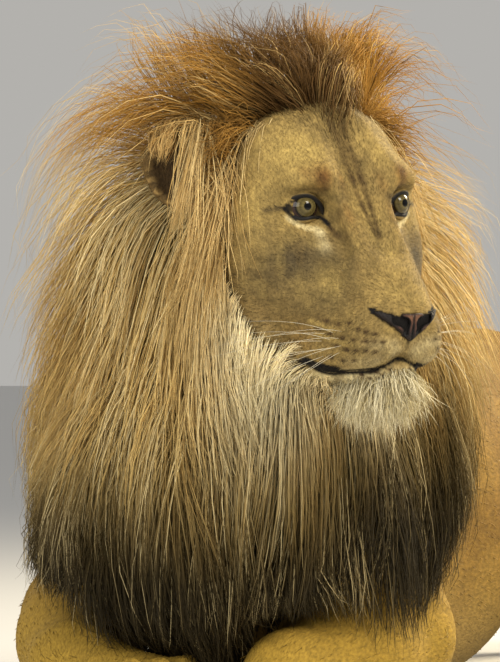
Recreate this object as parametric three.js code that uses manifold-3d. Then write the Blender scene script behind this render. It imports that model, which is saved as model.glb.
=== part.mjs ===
// A life-size male lion lying on its chest, head turned to its left, one forepaw folded in.
// Millimetres. +X is the lion's left, -Y is ahead of its chest, +Z is up, and z = 0 is the floor.
// The flesh is a set of smooth distance fields on a named skeleton, and each body part is a sphere
// wrapped onto its field from inside. Locks of hair are bent, flattened cones rooted in the coat's
// packed underlayer. Parts that touch keep the gap GAP to each other.
import * as THREE from "three";
import { mergeVertices } from "three/addons/utils/BufferGeometryUtils.js";
import Module from "manifold-3d";

const wasm = await Module();
wasm.setup();

// ---------- driving dimensions ----------
const GAP = 0.3; // between parts that touch
const HEADING = 53; // degrees that the face is turned to the lion's left
const HEAD_ROLL = 2.5; // degrees that the head leans, its left side up
const EYE_MIDDLE = [226, -260, 618]; // midway between the pupils
const EYE_R = 18;
const EYE_CENTRE = { f: -17, l: 57, u: 0 }; // of the left eyeball, in the head's frame
const CORE_DEPTH = 60; // from the neck's skin out to the mane's packed underlayer
const HAIRLINE = -72; // where the mane starts round the face, in the head's frame
const TAIL_R = 24;
const ARM_PLANE = 68; // where the trunk ends and an upper arm starts, from the middle
const THIGH_PLANE = 92;
const HEAD_PLANE = -112; // where the head ends and the neck starts, in the head's frame

const v = (x, y, z) => new THREE.Vector3(x, y, z);
const UP = v(0, 0, 1);
const WORLD = [v(1, 0, 0), v(0, 1, 0), UP];
const mid = (a, b, t) => a.clone().lerp(b, t);
const mirrored = (s, p) => v(s * p.x, p.y, p.z);
const NECK_PLANE = { point: v(0, -30, 200), normal: v(0, -0.75, 0.66) }; // trunk behind, neck ahead

// ---------- the head's own frame: ahead, to its left, up, from midway between the pupils ----------
const turn = THREE.MathUtils.degToRad(HEADING);
const roll = THREE.MathUtils.degToRad(HEAD_ROLL);
const AHEAD = v(Math.sin(turn), -Math.cos(turn), 0);
const LEFT = v(Math.cos(turn), Math.sin(turn), 0)
  .multiplyScalar(Math.cos(roll))
  .addScaledVector(UP, Math.sin(roll));
const TOP = AHEAD.clone().cross(LEFT);
const HEAD_AXES = [AHEAD, LEFT, TOP];
const headDirection = (f, l, u) =>
  v(0, 0, 0).addScaledVector(AHEAD, f).addScaledVector(LEFT, l).addScaledVector(TOP, u);
const head = (f, l, u) => headDirection(f, l, u).add(v(...EYE_MIDDLE));

// ---------- distance fields ----------
const smoothMin = (a, b, k) => {
  const h = Math.max(k - Math.abs(a - b), 0) / k;
  return Math.min(a, b) - (h * h * k) / 4;
};
const join = (fields, k) => (p) => fields.reduce((d, field) => smoothMin(d, field(p), k), 1e6);
const carve = (field, tool, k) => (p) => -smoothMin(-field(p), tool(p), k);
const swell = (field, by) => (p) => field(p) - by;
const within = (field, other, k) => (p) => -smoothMin(-field(p), -other(p), k);
// A round bar from a to b with its own radius at each end.
const bar = (a, b, ra, rb) => {
  const along = b.clone().sub(a);
  const length2 = along.lengthSq();
  return (p) => {
    const x = p.x - a.x;
    const y = p.y - a.y;
    const z = p.z - a.z;
    const t = Math.min(Math.max((x * along.x + y * along.y + z * along.z) / length2, 0), 1);
    return Math.hypot(x - t * along.x, y - t * along.y, z - t * along.z) - ra - t * (rb - ra);
  };
};
// An ellipsoid with its radii along three axes.
const egg = (centre, radii, axes = WORLD) => (p) => {
  const d = p.clone().sub(centre);
  const q = axes.map((axis, i) => d.dot(axis) / radii[i]);
  const near = Math.hypot(...q);
  const steep = Math.hypot(...q.map((x, i) => x / radii[i]));
  return steep < 1e-9 ? -Math.min(...radii) : (near * (near - 1)) / steep;
};
const headEgg = (f, l, u, radii) => egg(head(f, l, u), radii, HEAD_AXES);
const onBoth = (make) => [make(1), make(-1)];
const sidesOf = (make) => [make(1, FORELEG.left), make(-1, FORELEG.right)];
// The distance behind a plane: negative on the side that the normal points to.
const behind = (point, normal) => (p) => -p.clone().sub(point).dot(normal);
const slope = (field, p, h = 2) =>
  v(
    field(v(p.x + h, p.y, p.z)) - field(v(p.x - h, p.y, p.z)),
    field(v(p.x, p.y + h, p.z)) - field(v(p.x, p.y - h, p.z)),
    field(v(p.x, p.y, p.z + h)) - field(v(p.x, p.y, p.z - h)),
  ).normalize();

// ---------- the skeleton ----------
const ATLAS = v(78, -148, 596);
const NECK_ROOT = v(0, 40, 350);
const WITHERS = v(0, 110, 440);
const BLADE = v(92, 110, 395);
const SHOULDER = v(132, -40, 262);
const FORELEG = {
  left: { elbow: v(156, 96, 104), wrist: v(124, -182, 72), toes: v(118, -312, 44) },
  right: { elbow: v(-246, 92, 114), wrist: v(-156, -158, 76), toes: v(2, -232, 52) },
};
const HIP = v(105, 985, 300);
const KNEE = v(205, 730, 175);
const HOCK = v(178, 1020, 58);
const HIND_TOES = v(206, 735, 36);
const TAIL = [
  v(0, 1130, 345),
  v(4, 1215, 262),
  v(22, 1275, 120),
  v(95, 1310, 32),
  v(235, 1270, TAIL_R - 1),
  v(345, 1150, TAIL_R - 1),
  v(390, 1000, TAIL_R - 1),
  v(380, 850, TAIL_R + 6),
  v(352, 740, TAIL_R + 8),
];

// ---------- fields of the trunk and limbs ----------
const TRUNK = join(
  [
    egg(v(0, 10, 190), [128, 160, 187]),
    egg(v(0, 250, 235), [166, 320, 240]),
    egg(v(0, 560, 205), [178, 340, 210]),
    bar(v(0, 480, 300), v(0, 900, 295), 165, 150),
    egg(v(0, 985, 310), [138, 195, 165]),
    bar(v(0, 150, 400), v(0, 950, 395), 72, 66),
    ...onBoth((s) => egg(v(s * 60, 130, 385), [52, 150, 112])),
  ],
  60,
);
const armBars = (s, leg) => [
  bar(mirrored(s, BLADE), mirrored(s, SHOULDER), 60, 82),
  bar(mirrored(s, SHOULDER), leg.elbow, 82, 72),
];
const armField = (s, leg) =>
  join([...armBars(s, leg), bar(mirrored(s, v(100, 150, 300)), leg.elbow, 76, 64)], 45);
const forearmField = (leg) =>
  join(
    [
      bar(leg.elbow, mid(leg.elbow, leg.wrist, 0.45), 80, 74),
      bar(mid(leg.elbow, leg.wrist, 0.4), leg.wrist, 74, 58),
      egg(leg.elbow.clone().add(v(0, 50, -28)), [40, 48, 42]),
    ],
    40,
  );
// A paw: the broad back of the foot, then four toes side by side, the middle two furthest ahead.
const TOES = [-1.5, -0.5, 0.5, 1.5];
const pawField = (ankle, toes, size) => {
  const along = toes.clone().sub(ankle).setZ(0).normalize();
  const across = v(-along.y, along.x, 0);
  const axes = [along, across, UP];
  const knuckles = toes.clone().addScaledVector(along, -0.75 * size);
  const toe = (n) =>
    toes
      .clone()
      .addScaledVector(across, n * 0.5 * size)
      .addScaledVector(along, (Math.abs(n) > 1 ? -0.45 : -0.15) * size);
  return join(
    [
      bar(ankle, knuckles, 0.9 * size, 0.8 * size),
      egg(knuckles, [0.95 * size, 1.05 * size, 0.8 * size], axes),
      ...TOES.map((n) => egg(toe(n).setZ(toes.z - 2), [0.66 * size, 0.3 * size, toes.z], axes)),
    ],
    0.2 * size,
  );
};
const thighField = (s) =>
  join(
    [
      bar(mirrored(s, HIP), mirrored(s, KNEE), 128, 76),
      bar(v(s * 96, 1080, 250), v(s * 166, 930, 110), 90, 66),
      egg(v(s * 168, 850, 195), [60, 150, 112]),
    ],
    60,
  );
const shankField = (s) =>
  join(
    [
      bar(v(s * 232, 740, 140), mirrored(s, HOCK), 66, 42),
      egg(mirrored(s, HOCK).add(v(0, 28, 2)), [26, 32, 36]),
    ],
    30,
  );
const tailBars = (from, to, ra, rb) =>
  TAIL.slice(from, to).map((a, i, run) => {
    const radius = (j) => THREE.MathUtils.lerp(ra, rb, j / run.length);
    return bar(a, TAIL[from + i + 1], radius(i), radius(i + 1));
  });

// ---------- fields of the head ----------
const SKULL = join(
  [
    headEgg(-92, 0, 22, [112, 98, 92]),
    headEgg(-66, 0, 52, [52, 92, 60]),
    ...onBoth((s) => bar(head(-5, s * 19, 12), head(80, s * 16, -126), 27, 24)),
    ...onBoth((s) => headEgg(-8, s * 50, 28, [22, 32, 16])),
    ...onBoth((s) => headEgg(-62, s * 84, -34, [50, 37, 54])),
    ...onBoth((s) => headEgg(-86, s * 70, -92, [70, 42, 80])),
    ...onBoth((s) => bar(head(-58, s * 62, -76), head(30, s * 28, -142), 46, 32)),
    bar(head(-40, 0, -62), head(48, 0, -120), 74, 44),
  ],
  42,
);
const WHISKER_PADS = join(
  onBoth((s) => headEgg(54, s * 33, -152, [48, 34, 37])),
  12,
);
const EYE_HOLLOWS = join(
  [
    ...onBoth((s) => headEgg(13, s * 62, -1, [24, 27, 20])),
    ...onBoth((s) => bar(head(15, s * 44, -8), head(46, s * 42, -52), 9, 4)),
  ],
  8,
);
const HEAD = carve(join([SKULL, WHISKER_PADS], 22), EYE_HOLLOWS, 14);
const JAW = join(
  [
    headEgg(50, 0, -190, [34, 27, 22]),
    ...onBoth((s) => bar(head(46, s * 14, -186), head(-74, s * 52, -160), 24, 34)),
    bar(head(-60, 0, -165), head(10, 0, -182), 50, 30),
  ],
  20,
);
const NOSE = join(
  [
    headEgg(96, 0, -136, [16, 27, 19]),
    ...onBoth((s) => bar(head(96, s * 12, -137), head(91, s * 38, -122), 16, 12)),
    headEgg(99, 0, -152, [10, 8, 13]),
  ],
  8,
);
const NOSTRIL = (s) => [head(111, s * 13, -143), head(99, s * 42, -124)];
const nostrilField = (s) => bar(...NOSTRIL(s), 5, 4);
const EAR_FACING = (s) => headDirection(0.62, s * 0.78, -0.06);
const EAR_CENTRE = (s) => head(-152, s * 125, 54);
const EAR_DEPTH = 20; // from an ear's middle out to the middle of its hollow
const earAxes = (s) => {
  const facing = EAR_FACING(s);
  const height = TOP.clone().addScaledVector(facing, -TOP.dot(facing)).normalize();
  return [facing, height, facing.clone().cross(height)];
};
const earField = (s) => egg(EAR_CENTRE(s), [27, 55, 53], earAxes(s));
const earHollow = (s) =>
  egg(EAR_CENTRE(s).addScaledVector(EAR_FACING(s), EAR_DEPTH), [27, 46, 44], earAxes(s));

// ---------- fields of the mane ----------
const NECK = join(
  [
    bar(NECK_ROOT, ATLAS, 160, 108),
    bar(v(5, -60, 270), head(-95, 0, -80), 128, 92),
    bar(WITHERS, ATLAS, 90, 80),
  ],
  60,
);
// The mane stays behind a plane that leans forward from the hairline to under the chin.
const FACE_PLANE = behind(head(HAIRLINE, 0, 90), headDirection(-0.972, 0, -0.236));
const maneField = (depth) =>
  within(join([swell(NECK, depth), swell(SKULL, 0.75 * depth)], 40), FACE_PLANE, 80);

// ---------- from fields to solids ----------
// A closed three.js geometry as a manifold-3d solid.
function solid(geometry) {
  const bare = new THREE.BufferGeometry()
    .setAttribute("position", geometry.getAttribute("position"))
    .setIndex(geometry.getIndex());
  const merged = mergeVertices(bare, 1e-3);
  const triVerts = [];
  for (let i = 0; i < merged.index.count; i += 3) {
    const [a, b, c] = [0, 1, 2].map((j) => merged.index.getX(i + j));
    if (a !== b && b !== c && a !== c) triVerts.push(a, b, c);
  }
  const vertProperties = new Float32Array(merged.attributes.position.array);
  const make = (order) =>
    new wasm.Manifold(
      new wasm.Mesh({ numProp: 3, vertProperties, triVerts: new Uint32Array(order) }),
    );
  const made = make(triVerts);
  return made.volume() < 0 ? make(triVerts.reverse()) : made;
}
const largest = (made) =>
  made.decompose().reduce((best, part) => (part.volume() > best.volume() ? part : best));
const fuse = (solids) => solids.reduce((all, one) => all.add(one));
const cutBy = (made, tools) => tools.reduce((left, tool) => left.subtract(tool), made);

// How far the field's surface is from an inner point, along a direction.
const STRIDE = 8;
const STEEPEST = 0.3; // least share of a ray's direction that counts as facing out of the skin
function reachOf(field, from, direction) {
  const at = (r) => field(from.clone().addScaledVector(direction, r));
  let high = STRIDE;
  while (at(high) < 0 && high < 600) high += STRIDE;
  let low = high - STRIDE;
  for (let i = 0; i < 16; i++) {
    const half = (low + high) / 2;
    if (at(half) > 0) high = half;
    else low = half;
  }
  return low;
}

// Wraps a sphere onto a field. Its rows run along the spine, and the share `ends` of them at each
// end fans round the spine's end point. It gives the body, and a tool that is larger by the gap all
// over, to cut other parts with.
function wrap(field, spine, { rows = 12, sides = 14, ends = 0.25 } = {}) {
  const curve = spine.length > 2 ? new THREE.CatmullRomCurve3(spine) : new THREE.LineCurve3(...spine);
  const geometry = new THREE.SphereGeometry(1, sides, rows);
  const grown = geometry.clone();
  const upright = Math.abs(spine.at(-1).clone().sub(spine[0]).normalize().z) > 0.7;
  const reference = upright ? WORLD[1] : UP;
  const position = geometry.attributes.position;
  for (let i = 0; i < position.count; i++) {
    const share = Math.floor(i / (sides + 1)) / rows;
    const angle = (((i % (sides + 1)) % sides) / sides) * 2 * Math.PI;
    const t = THREE.MathUtils.clamp((share - ends) / (1 - 2 * ends), 0, 1);
    const beyond = THREE.MathUtils.clamp(Math.max(1 - share / ends, 1 - (1 - share) / ends), 0, 1);
    const lean = Math.sign(share - 0.5) * beyond * (Math.PI / 2);
    const axis = curve.getTangentAt(t).normalize();
    const across = axis.clone().cross(reference).normalize();
    const rise = across.clone().cross(axis);
    const spread = beyond === 1 ? 0 : Math.cos(lean);
    const direction = across
      .multiplyScalar(Math.cos(angle) * spread)
      .addScaledVector(rise, Math.sin(angle) * spread)
      .addScaledVector(axis, Math.sin(lean));
    const centre = curve.getPointAt(t);
    const skin = centre.addScaledVector(direction, reachOf(field, centre, direction));
    position.setXYZ(i, ...skin);
    const facing = Math.max(slope(field, skin, 0.5).dot(direction), STEEPEST);
    grown.attributes.position.setXYZ(i, ...skin.addScaledVector(direction, GAP / facing));
  }
  return { body: solid(geometry), tool: solid(grown) };
}
// A box whose top face passes through a point and looks along a normal.
function halfSpace(point, normal) {
  const box = new THREE.BoxGeometry(6000, 6000, 3000).translate(0, 0, -1500);
  box.applyQuaternion(new THREE.Quaternion().setFromUnitVectors(UP, normal.clone().normalize()));
  return solid(box.translate(point.x, point.y, point.z));
}
const FLOOR = halfSpace(v(0, 0, 0), UP);

// ---------- body parts: each has its solid and a copy of it grown by the gap, to cut others ----------
const parts = {};
function flesh(name, field, spine, options = {}) {
  parts[name] = wrap(field, spine, options);
}
// Cuts a part off at a plane, and keeps what is on the side that the normal points to.
const cutOff = ({ body, tool }, point, normal) => {
  const away = normal.clone().normalize();
  return {
    body: body.subtract(halfSpace(point, away)),
    tool: tool.subtract(halfSpace(point.clone().addScaledVector(away, -GAP), away)),
  };
};

// ---------- the head ----------
const EYE_SEGMENTS = [10, 7];
for (const [side, s] of [["left", 1], ["right", -1]]) {
  const centre = head(EYE_CENTRE.f, s * EYE_CENTRE.l, EYE_CENTRE.u);
  const ball = (r) =>
    solid(new THREE.SphereGeometry(r, ...EYE_SEGMENTS).translate(centre.x, centre.y, centre.z));
  parts["eye_" + side] = { body: ball(EYE_R), tool: ball(EYE_R + GAP) };
}
// The rim of an eye's lids: an almond path on a ball a little larger than the eye.
const LID = { reach: 21, thick: 4.2, half: 60, rise: 40, drop: 30, slant: 14, outward: 13 };
function lidRim(s) {
  const centre = head(EYE_CENTRE.f, s * EYE_CENTRE.l, EYE_CENTRE.u);
  const points = [];
  for (let i = 0; i < 16; i++) {
    const round = (i / 16) * 2 * Math.PI;
    const toNose = Math.cos(round);
    const azimuth = THREE.MathUtils.degToRad(LID.half * toNose - LID.outward);
    const lift = Math.sin(round) * (Math.sin(round) > 0 ? LID.rise : LID.drop);
    const elevation = THREE.MathUtils.degToRad(lift - LID.slant * toNose);
    const radius = LID.reach + 3 * Math.max(toNose, 0);
    const direction = headDirection(
      Math.cos(azimuth) * Math.cos(elevation),
      -s * Math.sin(azimuth) * Math.cos(elevation),
      Math.sin(elevation),
    );
    points.push(centre.clone().addScaledVector(direction, radius));
  }
  const path = new THREE.CatmullRomCurve3(points, true);
  return solid(new THREE.TubeGeometry(path, 12, LID.thick, 4, true));
}
const HEAD_SPINE = [head(-88, 0, -4), head(36, 0, -106)];
flesh("head", HEAD, HEAD_SPINE, { rows: 18, sides: 24, ends: 0.3 });
parts.head = cutOff(parts.head, head(HEAD_PLANE, 0, 0), AHEAD);
flesh("nose_leather", NOSE, [head(84, -18, -133), head(84, 18, -133)], { rows: 10, sides: 10, ends: 0.3 });
flesh("lower_jaw", JAW, [head(-62, 0, -168), head(48, 0, -190)], { rows: 10, sides: 12 });
for (const [side, s] of [["left", 1], ["right", -1]]) {
  const size = { rows: 8, sides: 10, ends: 0.45 };
  const centre = EAR_CENTRE(s);
  const spine = (shift) => {
    const facing = EAR_FACING(s);
    return [-4, 4].map((d) => centre.clone().addScaledVector(facing, d + shift));
  };
  flesh("ear_" + side, earField(s), spine(0), size);
  parts["ear_" + side].hollow = wrap(earHollow(s), spine(EAR_DEPTH), size).body;
}

// ---------- the trunk, legs and tail ----------
flesh("torso", TRUNK, [v(0, 40, 215), v(0, 1000, 290)], { rows: 13, sides: 12, ends: 0.2 });
// The flat under the chest that the frame's origin lies on.
const CHEST_FLAT = { x: 5, y: 15, width: 90, length: 90, height: 40 };
parts.torso.body = parts.torso.body.add(
  solid(
    new THREE.BoxGeometry(CHEST_FLAT.width, CHEST_FLAT.length, CHEST_FLAT.height)
      .translate(CHEST_FLAT.x, CHEST_FLAT.y, CHEST_FLAT.height / 2),
  ),
);
parts.torso = cutOff(parts.torso, NECK_PLANE.point, NECK_PLANE.normal.clone().negate());
for (const [side, s] of [["left", 1], ["right", -1]]) {
  const leg = FORELEG[side];
  const flexed = armField(s, leg);
  const [bladeBar, armBar] = armBars(s, leg);
  const NEAR = 26;
  const limited = (own) => (p) => Math.max(flexed(p), own(p) - NEAR);
  const options = { rows: 5, sides: 7, ends: 0.3 };
  const blade = wrap(limited(bladeBar), [mirrored(s, BLADE), mirrored(s, SHOULDER)], options);
  const arm = wrap(limited(armBar), [mirrored(s, SHOULDER), leg.elbow], options);
  const whole = { body: fuse([blade.body, arm.body]), tool: fuse([blade.tool, arm.tool]) };
  parts["upper_arm_" + side] = cutOff(whole, v(s * ARM_PLANE, 0, 0), v(s, 0, 0));
  flesh("forearm_" + side, forearmField(leg), [leg.elbow, leg.wrist], { rows: 7, sides: 9 });
  flesh("forepaw_" + side, pawField(leg.wrist, leg.toes, 60), [
    leg.wrist,
    mid(leg.wrist, leg.toes, 0.75),
  ], { rows: 11, sides: 16, ends: 0.35 });
  flesh("thigh_" + side, thighField(s), [mirrored(s, HIP), mirrored(s, KNEE)], {
    rows: 8,
    sides: 11,
    ends: 0.3,
  });
  parts["thigh_" + side] = cutOff(parts["thigh_" + side], v(s * THIGH_PLANE, 0, 0), v(s, 0, 0));
  flesh("shank_" + side, shankField(s), [v(s * 232, 740, 140), mirrored(s, HOCK)], { rows: 6, sides: 8 });
  const heel = mirrored(s, HOCK).setZ(42);
  const toes = mirrored(s, HIND_TOES);
  flesh("hind_foot_" + side, pawField(heel, toes, 50), [heel, mid(heel, toes, 0.88)], {
    rows: 11,
    sides: 14,
    ends: 0.25,
  });
}
flesh("tail_root", join(tailBars(0, 3, 52, 30), 20), TAIL.slice(0, 4), { rows: 7, sides: 8, ends: 0.2 });
flesh("tail_middle", join(tailBars(3, 6, 30, TAIL_R), 20), TAIL.slice(3, 7), {
  rows: 9,
  sides: 7,
  ends: 0.14,
});
const TUFT = join([...tailBars(6, 8, TAIL_R, 30), egg(TAIL[8], [34, 44, 28])], 20);
flesh("tail_tuft", TUFT, TAIL.slice(6, 9), { rows: 9, sides: 7, ends: 0.25 });

// ---------- the mane: the neck's flesh with its coat, parted by planes through the neck ----------
const MANE_AXIS = v(38, -78, 0);
const heading = (degrees) => {
  const a = THREE.MathUtils.degToRad(degrees);
  return v(Math.sin(a), -Math.cos(a), 0);
};
const PARTINGS = { right: -42, left: 82, back: 180 };
const CREST_FLOOR = { point: head(-105, 0, 12), normal: headDirection(-0.5, 0, 0.87) };
// The two sides of the upright plane through MANE_AXIS and a heading, and of the crest's floor.
const sectorPlane = (degrees, sign) => ({
  point: MANE_AXIS,
  normal: heading(degrees + 90).multiplyScalar(sign),
});
const crestPlane = (sign) => ({
  point: CREST_FLOOR.point,
  normal: CREST_FLOOR.normal.clone().normalize().multiplyScalar(sign),
});
const MANE_SPINE = [v(5, -50, 260), v(30, -80, 430), head(-120, 0, 20)];
const LEGS = join(
  sidesOf((s, leg) => join([armField(s, leg), forearmField(leg), pawField(leg.wrist, leg.toes, 60)], 1)),
  1,
);
const CORE = carve(maneField(CORE_DEPTH), swell(LEGS, 4), 16);
const maneCore = wrap(CORE, MANE_SPINE, { rows: 13, sides: 16, ends: 0.3 }).body;

// ---------- locks of hair ----------
// Draws the same numbers between 0 and 1 on every run.
function seeded(seed) {
  let state = seed;
  return () => {
    state = (state * 16807) % 2147483647;
    return state / 2147483647;
  };
}
const STEP = 66; // the length of a lock that one of its cone's rows covers
// A lock is a three-sided cone bent along a path: about as wide as `width` a third of the way out
// and as thick as `thick`, with a flat side to the body and a ridge outside. A smaller `point`
// gives it a blunter tip.
function lock(path, field, width, thick, point = 0.75) {
  const curve = new THREE.CatmullRomCurve3(path);
  const cone = new THREE.ConeGeometry(1, 1, 3, path.length - 1);
  const position = cone.attributes.position;
  for (let i = 0; i < position.count; i++) {
    const t = THREE.MathUtils.clamp(position.getY(i) + 0.5, 0, 1);
    const round = Math.hypot(position.getX(i), position.getZ(i));
    const unit = (x) => (round < 1e-6 ? 0 : Math.round((1e4 * x) / round) / 1e4);
    const along = curve.getTangent(t);
    const centre = curve.getPoint(t);
    const across = along.clone().cross(slope(field, centre)).normalize();
    const out = across.clone().cross(along);
    const fullness = Math.pow(1 - t, point) * (0.8 + 1.2 * t);
    centre
      .addScaledVector(across, (unit(position.getX(i)) * fullness * width) / 2)
      .addScaledVector(out, (unit(position.getZ(i)) * fullness * thick) / 2);
    position.setXYZ(i, centre.x, centre.y, centre.z);
  }
  return solid(cone);
}
// The path of a lock from its sunken root: it leaves in its own direction, bends down as it goes,
// and stays clear of the body, the floor and the partings by the room that it needs.
function lockPath({ root, direction, length, droop, sink, room, field, others, planes }) {
  const steps = Math.max(2, Math.round(length / STEP));
  const step = length / steps;
  const point = root.clone().addScaledVector(slope(field, root), -sink);
  const path = [point.clone()];
  const heading = direction.clone().normalize();
  for (let i = 1; i <= steps; i++) {
    heading.addScaledVector(UP, -droop).normalize();
    point.addScaledVector(heading, i === 1 ? step + sink : step);
    for (const solidField of [field, others]) {
      const short = room - solidField(point);
      if (short > 0) point.addScaledVector(slope(solidField, point), short);
    }
    for (const { point: on, normal } of planes) {
      const short = room - point.clone().sub(on).dot(normal);
      if (short > 0) point.addScaledVector(normal, short);
    }
    point.setZ(Math.max(point.z, room));
    path.push(point.clone());
  }
  return path;
}

// ---------- the mane's locks ----------
const BEARD_ROOM = headEgg(38, 0, -222, [48, 50, 48]);
const BODY = join([HEAD, JAW, TRUNK, ...onBoth(earField), LEGS, BEARD_ROOM], 1);
const MANE_HAIR = {
  across: 68, // from one root to the next along a row
  rows: 13,
  width: 84,
  thick: 22,
  sink: 14,
  room: 9,
};
const inHead = (p) => {
  const d = p.clone().sub(v(...EYE_MIDDLE));
  return { f: d.dot(AHEAD), l: d.dot(LEFT), u: d.dot(TOP) };
};
const ramp = (x, from, to) => THREE.MathUtils.clamp((x - from) / (to - from), 0, 1);
// Which way the hair leaves the skin, how long it is and how much it hangs.
function maneLie(p, out) {
  const { u } = inHead(p);
  const crest = ramp(u, 0, 85);
  const chest = ramp(u, -170, -240);
  const side = (1 - crest) * (1 - chest);
  const direction = out
    .clone()
    .multiplyScalar(0.9 * crest + 0.95 * side + 0.5 * chest)
    .addScaledVector(AHEAD, -0.5 * side - 0.7 * crest)
    .addScaledVector(UP, -0.55 * side - 0.85 * chest);
  return {
    direction,
    length: 136 * crest + 225 * side + 200 * chest,
    droop: 0.04 * crest + 0.33 * side + 0.45 * chest,
  };
}
const REGION_PLANES = {
  neck_crest_mane: [crestPlane(1)],
  neck_right_mane: [crestPlane(-1), sectorPlane(PARTINGS.right, -1), sectorPlane(PARTINGS.back - 360, 1)],
  neck_left_mane: [crestPlane(-1), sectorPlane(PARTINGS.left, 1), sectorPlane(PARTINGS.back, -1)],
  throat_mane: [crestPlane(-1), sectorPlane(PARTINGS.right, 1), sectorPlane(PARTINGS.left, -1)],
};
const regionOf = (p) =>
  Object.keys(REGION_PLANES).find((name) =>
    REGION_PLANES[name].every(({ point, normal }) => p.clone().sub(point).dot(normal) > 0),
  );
const maneLocks = Object.fromEntries(Object.keys(REGION_PLANES).map((name) => [name, []]));
const draw = seeded(20147);
const vary = (share) => 1 + share * (2 * draw() - 1);
function growLock(root, out, sideways) {
  const region = regionOf(root);
  if (!region || BODY(root) < 6 || root.z < 60) return;
  const { direction, length, droop } = maneLie(root, out);
  const path = lockPath({
    root,
    direction: direction.addScaledVector(sideways, 0.5 * (draw() - 0.5)),
    length: length * vary(0.2),
    droop,
    sink: MANE_HAIR.sink,
    room: MANE_HAIR.room,
    field: CORE,
    others: BODY,
    planes: REGION_PLANES[region],
  });
  maneLocks[region].push(lock(path, CORE, MANE_HAIR.width * vary(0.15), MANE_HAIR.thick));
}
// Roots in rings behind the hairline, from under one ear over the crown to under the other.
const RUFF = { behind: [12, 44, 84], from: -62, to: 242, count: 16 };
const HAIRLINE_BACK = headDirection(-0.972, 0, -0.236);
const HAIRLINE_UP = headDirection(-0.236, 0, 0.972);
const RUFF_CENTRE = head(HAIRLINE, 0, 90).addScaledVector(HAIRLINE_UP, -113);
RUFF.behind.forEach((back, ring) => {
  for (let k = 0; k < RUFF.count; k++) {
    const angle = THREE.MathUtils.degToRad(
      THREE.MathUtils.lerp(RUFF.from, RUFF.to, (k + 0.5 * (ring % 2)) / (RUFF.count - 1)),
    );
    const ray = LEFT.clone()
      .multiplyScalar(Math.cos(angle))
      .addScaledVector(HAIRLINE_UP, Math.sin(angle));
    const centre = RUFF_CENTRE.clone().addScaledVector(HAIRLINE_BACK, back);
    growLock(centre.clone().addScaledVector(ray, reachOf(CORE, centre, ray)), ray, AHEAD);
  }
});
// Roots in rows across the neck's spine, behind the rings: their rays fan out under the chest.
const maneCurve = new THREE.CatmullRomCurve3(MANE_SPINE);
for (let row = 0; row < MANE_HAIR.rows; row++) {
  const share = (row + 0.5) / MANE_HAIR.rows;
  const fan = 0.3;
  const t = ramp(share, fan, 1 - fan);
  const lean = (Math.max(share - 1 + fan, 0) - Math.max(fan - share, 0)) * (Math.PI / (2 * fan));
  const axis = maneCurve.getTangentAt(t);
  const across = axis.clone().cross(WORLD[1]).normalize();
  const rise = across.clone().cross(axis);
  const ray = (angle) =>
    across
      .clone()
      .multiplyScalar(Math.cos(angle) * Math.cos(lean))
      .addScaledVector(rise, Math.sin(angle) * Math.cos(lean))
      .addScaledVector(axis, Math.sin(lean));
  const centre = maneCurve.getPointAt(t);
  const reach = reachOf(CORE, centre, ray(Math.PI));
  const count = Math.max(3, Math.round((2 * Math.PI * reach * Math.cos(lean)) / MANE_HAIR.across));
  for (let k = 0; k < count; k++) {
    const direction = ray(((k + (row % 2) / 2 + 0.35 * (draw() - 0.5)) / count) * 2 * Math.PI);
    const root = centre.clone().addScaledVector(direction, reachOf(CORE, centre, direction));
    if (inHead(root).u > -190 && FACE_PLANE(root) > -RUFF.behind.at(-1) - 25) continue;
    growLock(root, slope(CORE, root), across);
  }
}

// ---------- the beard under the chin, and the tail's tuft ----------
const BEARD = { rows: [66, 44, 22], across: 16, length: 48, width: 44, thick: 22 };
const beardLocks = BEARD.rows.flatMap((f, row) =>
  [-2, -1, 0, 1, 2].map((place) => {
    const k = place + 0.5 * (row % 2);
    const ray = headDirection(0.15 - 0.1 * row, 0.42 * k, -1).normalize();
    const centre = head(f - 8, 0.5 * BEARD.across * k, -186);
    const root = centre.clone().addScaledVector(ray, reachOf(JAW, centre, ray));
    const path = lockPath({
      root,
      direction: headDirection(0.25 - 0.2 * row, 0.16 * k, -1),
      length: (BEARD.length - 6 * Math.abs(k)) * vary(0.15),
      droop: 0.1,
      sink: 8,
      room: 4,
      field: JAW,
      others: HEAD,
      planes: [],
    });
    return lock(path, JAW, BEARD.width, BEARD.thick, 0.4);
  }),
);
const TUFT_HAIR = { rings: [0.1, 0.4, 0.7, 1], around: 5, length: 125, width: 46, thick: 20 };
const tuftAlong = TAIL[8].clone().sub(TAIL[7]).normalize();
const tuftAcross = tuftAlong.clone().cross(UP).normalize();
const tuftLocks = TUFT_HAIR.rings.flatMap((share, ring) =>
  Array.from({ length: TUFT_HAIR.around }, (_, k) => {
    const angle = THREE.MathUtils.degToRad(-15 + (210 * (k + 0.5 * (ring % 2))) / TUFT_HAIR.around);
    const ray = tuftAcross.clone().multiplyScalar(Math.cos(angle)).addScaledVector(UP, Math.sin(angle));
    const centre = mid(TAIL[7], TAIL[8], share);
    const path = lockPath({
      root: centre.clone().addScaledVector(ray, reachOf(TUFT, centre, ray)),
      direction: tuftAlong.clone().addScaledVector(ray, 0.45),
      length: TUFT_HAIR.length * vary(0.2),
      droop: 0.25,
      sink: 10,
      room: 11,
      field: TUFT,
      others: TUFT,
      planes: [],
    });
    return lock(path, TUFT, TUFT_HAIR.width, TUFT_HAIR.thick);
  }),
);
const beardRoom = wrap(BEARD_ROOM, [head(38, 0, -214), head(38, 0, -230)], {
  rows: 7,
  sides: 10,
  ends: 0.4,
});

// ---------- fitting the parts to each other ----------
const tool = (...names) => names.map((name) => parts[name].tool);
const sides = ["left", "right"];
const both = (name) => sides.map((side) => name + "_" + side);
const LIMBS = ["upper_arm", "forearm", "forepaw", "thigh", "shank", "hind_foot"].flatMap(both);

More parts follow.
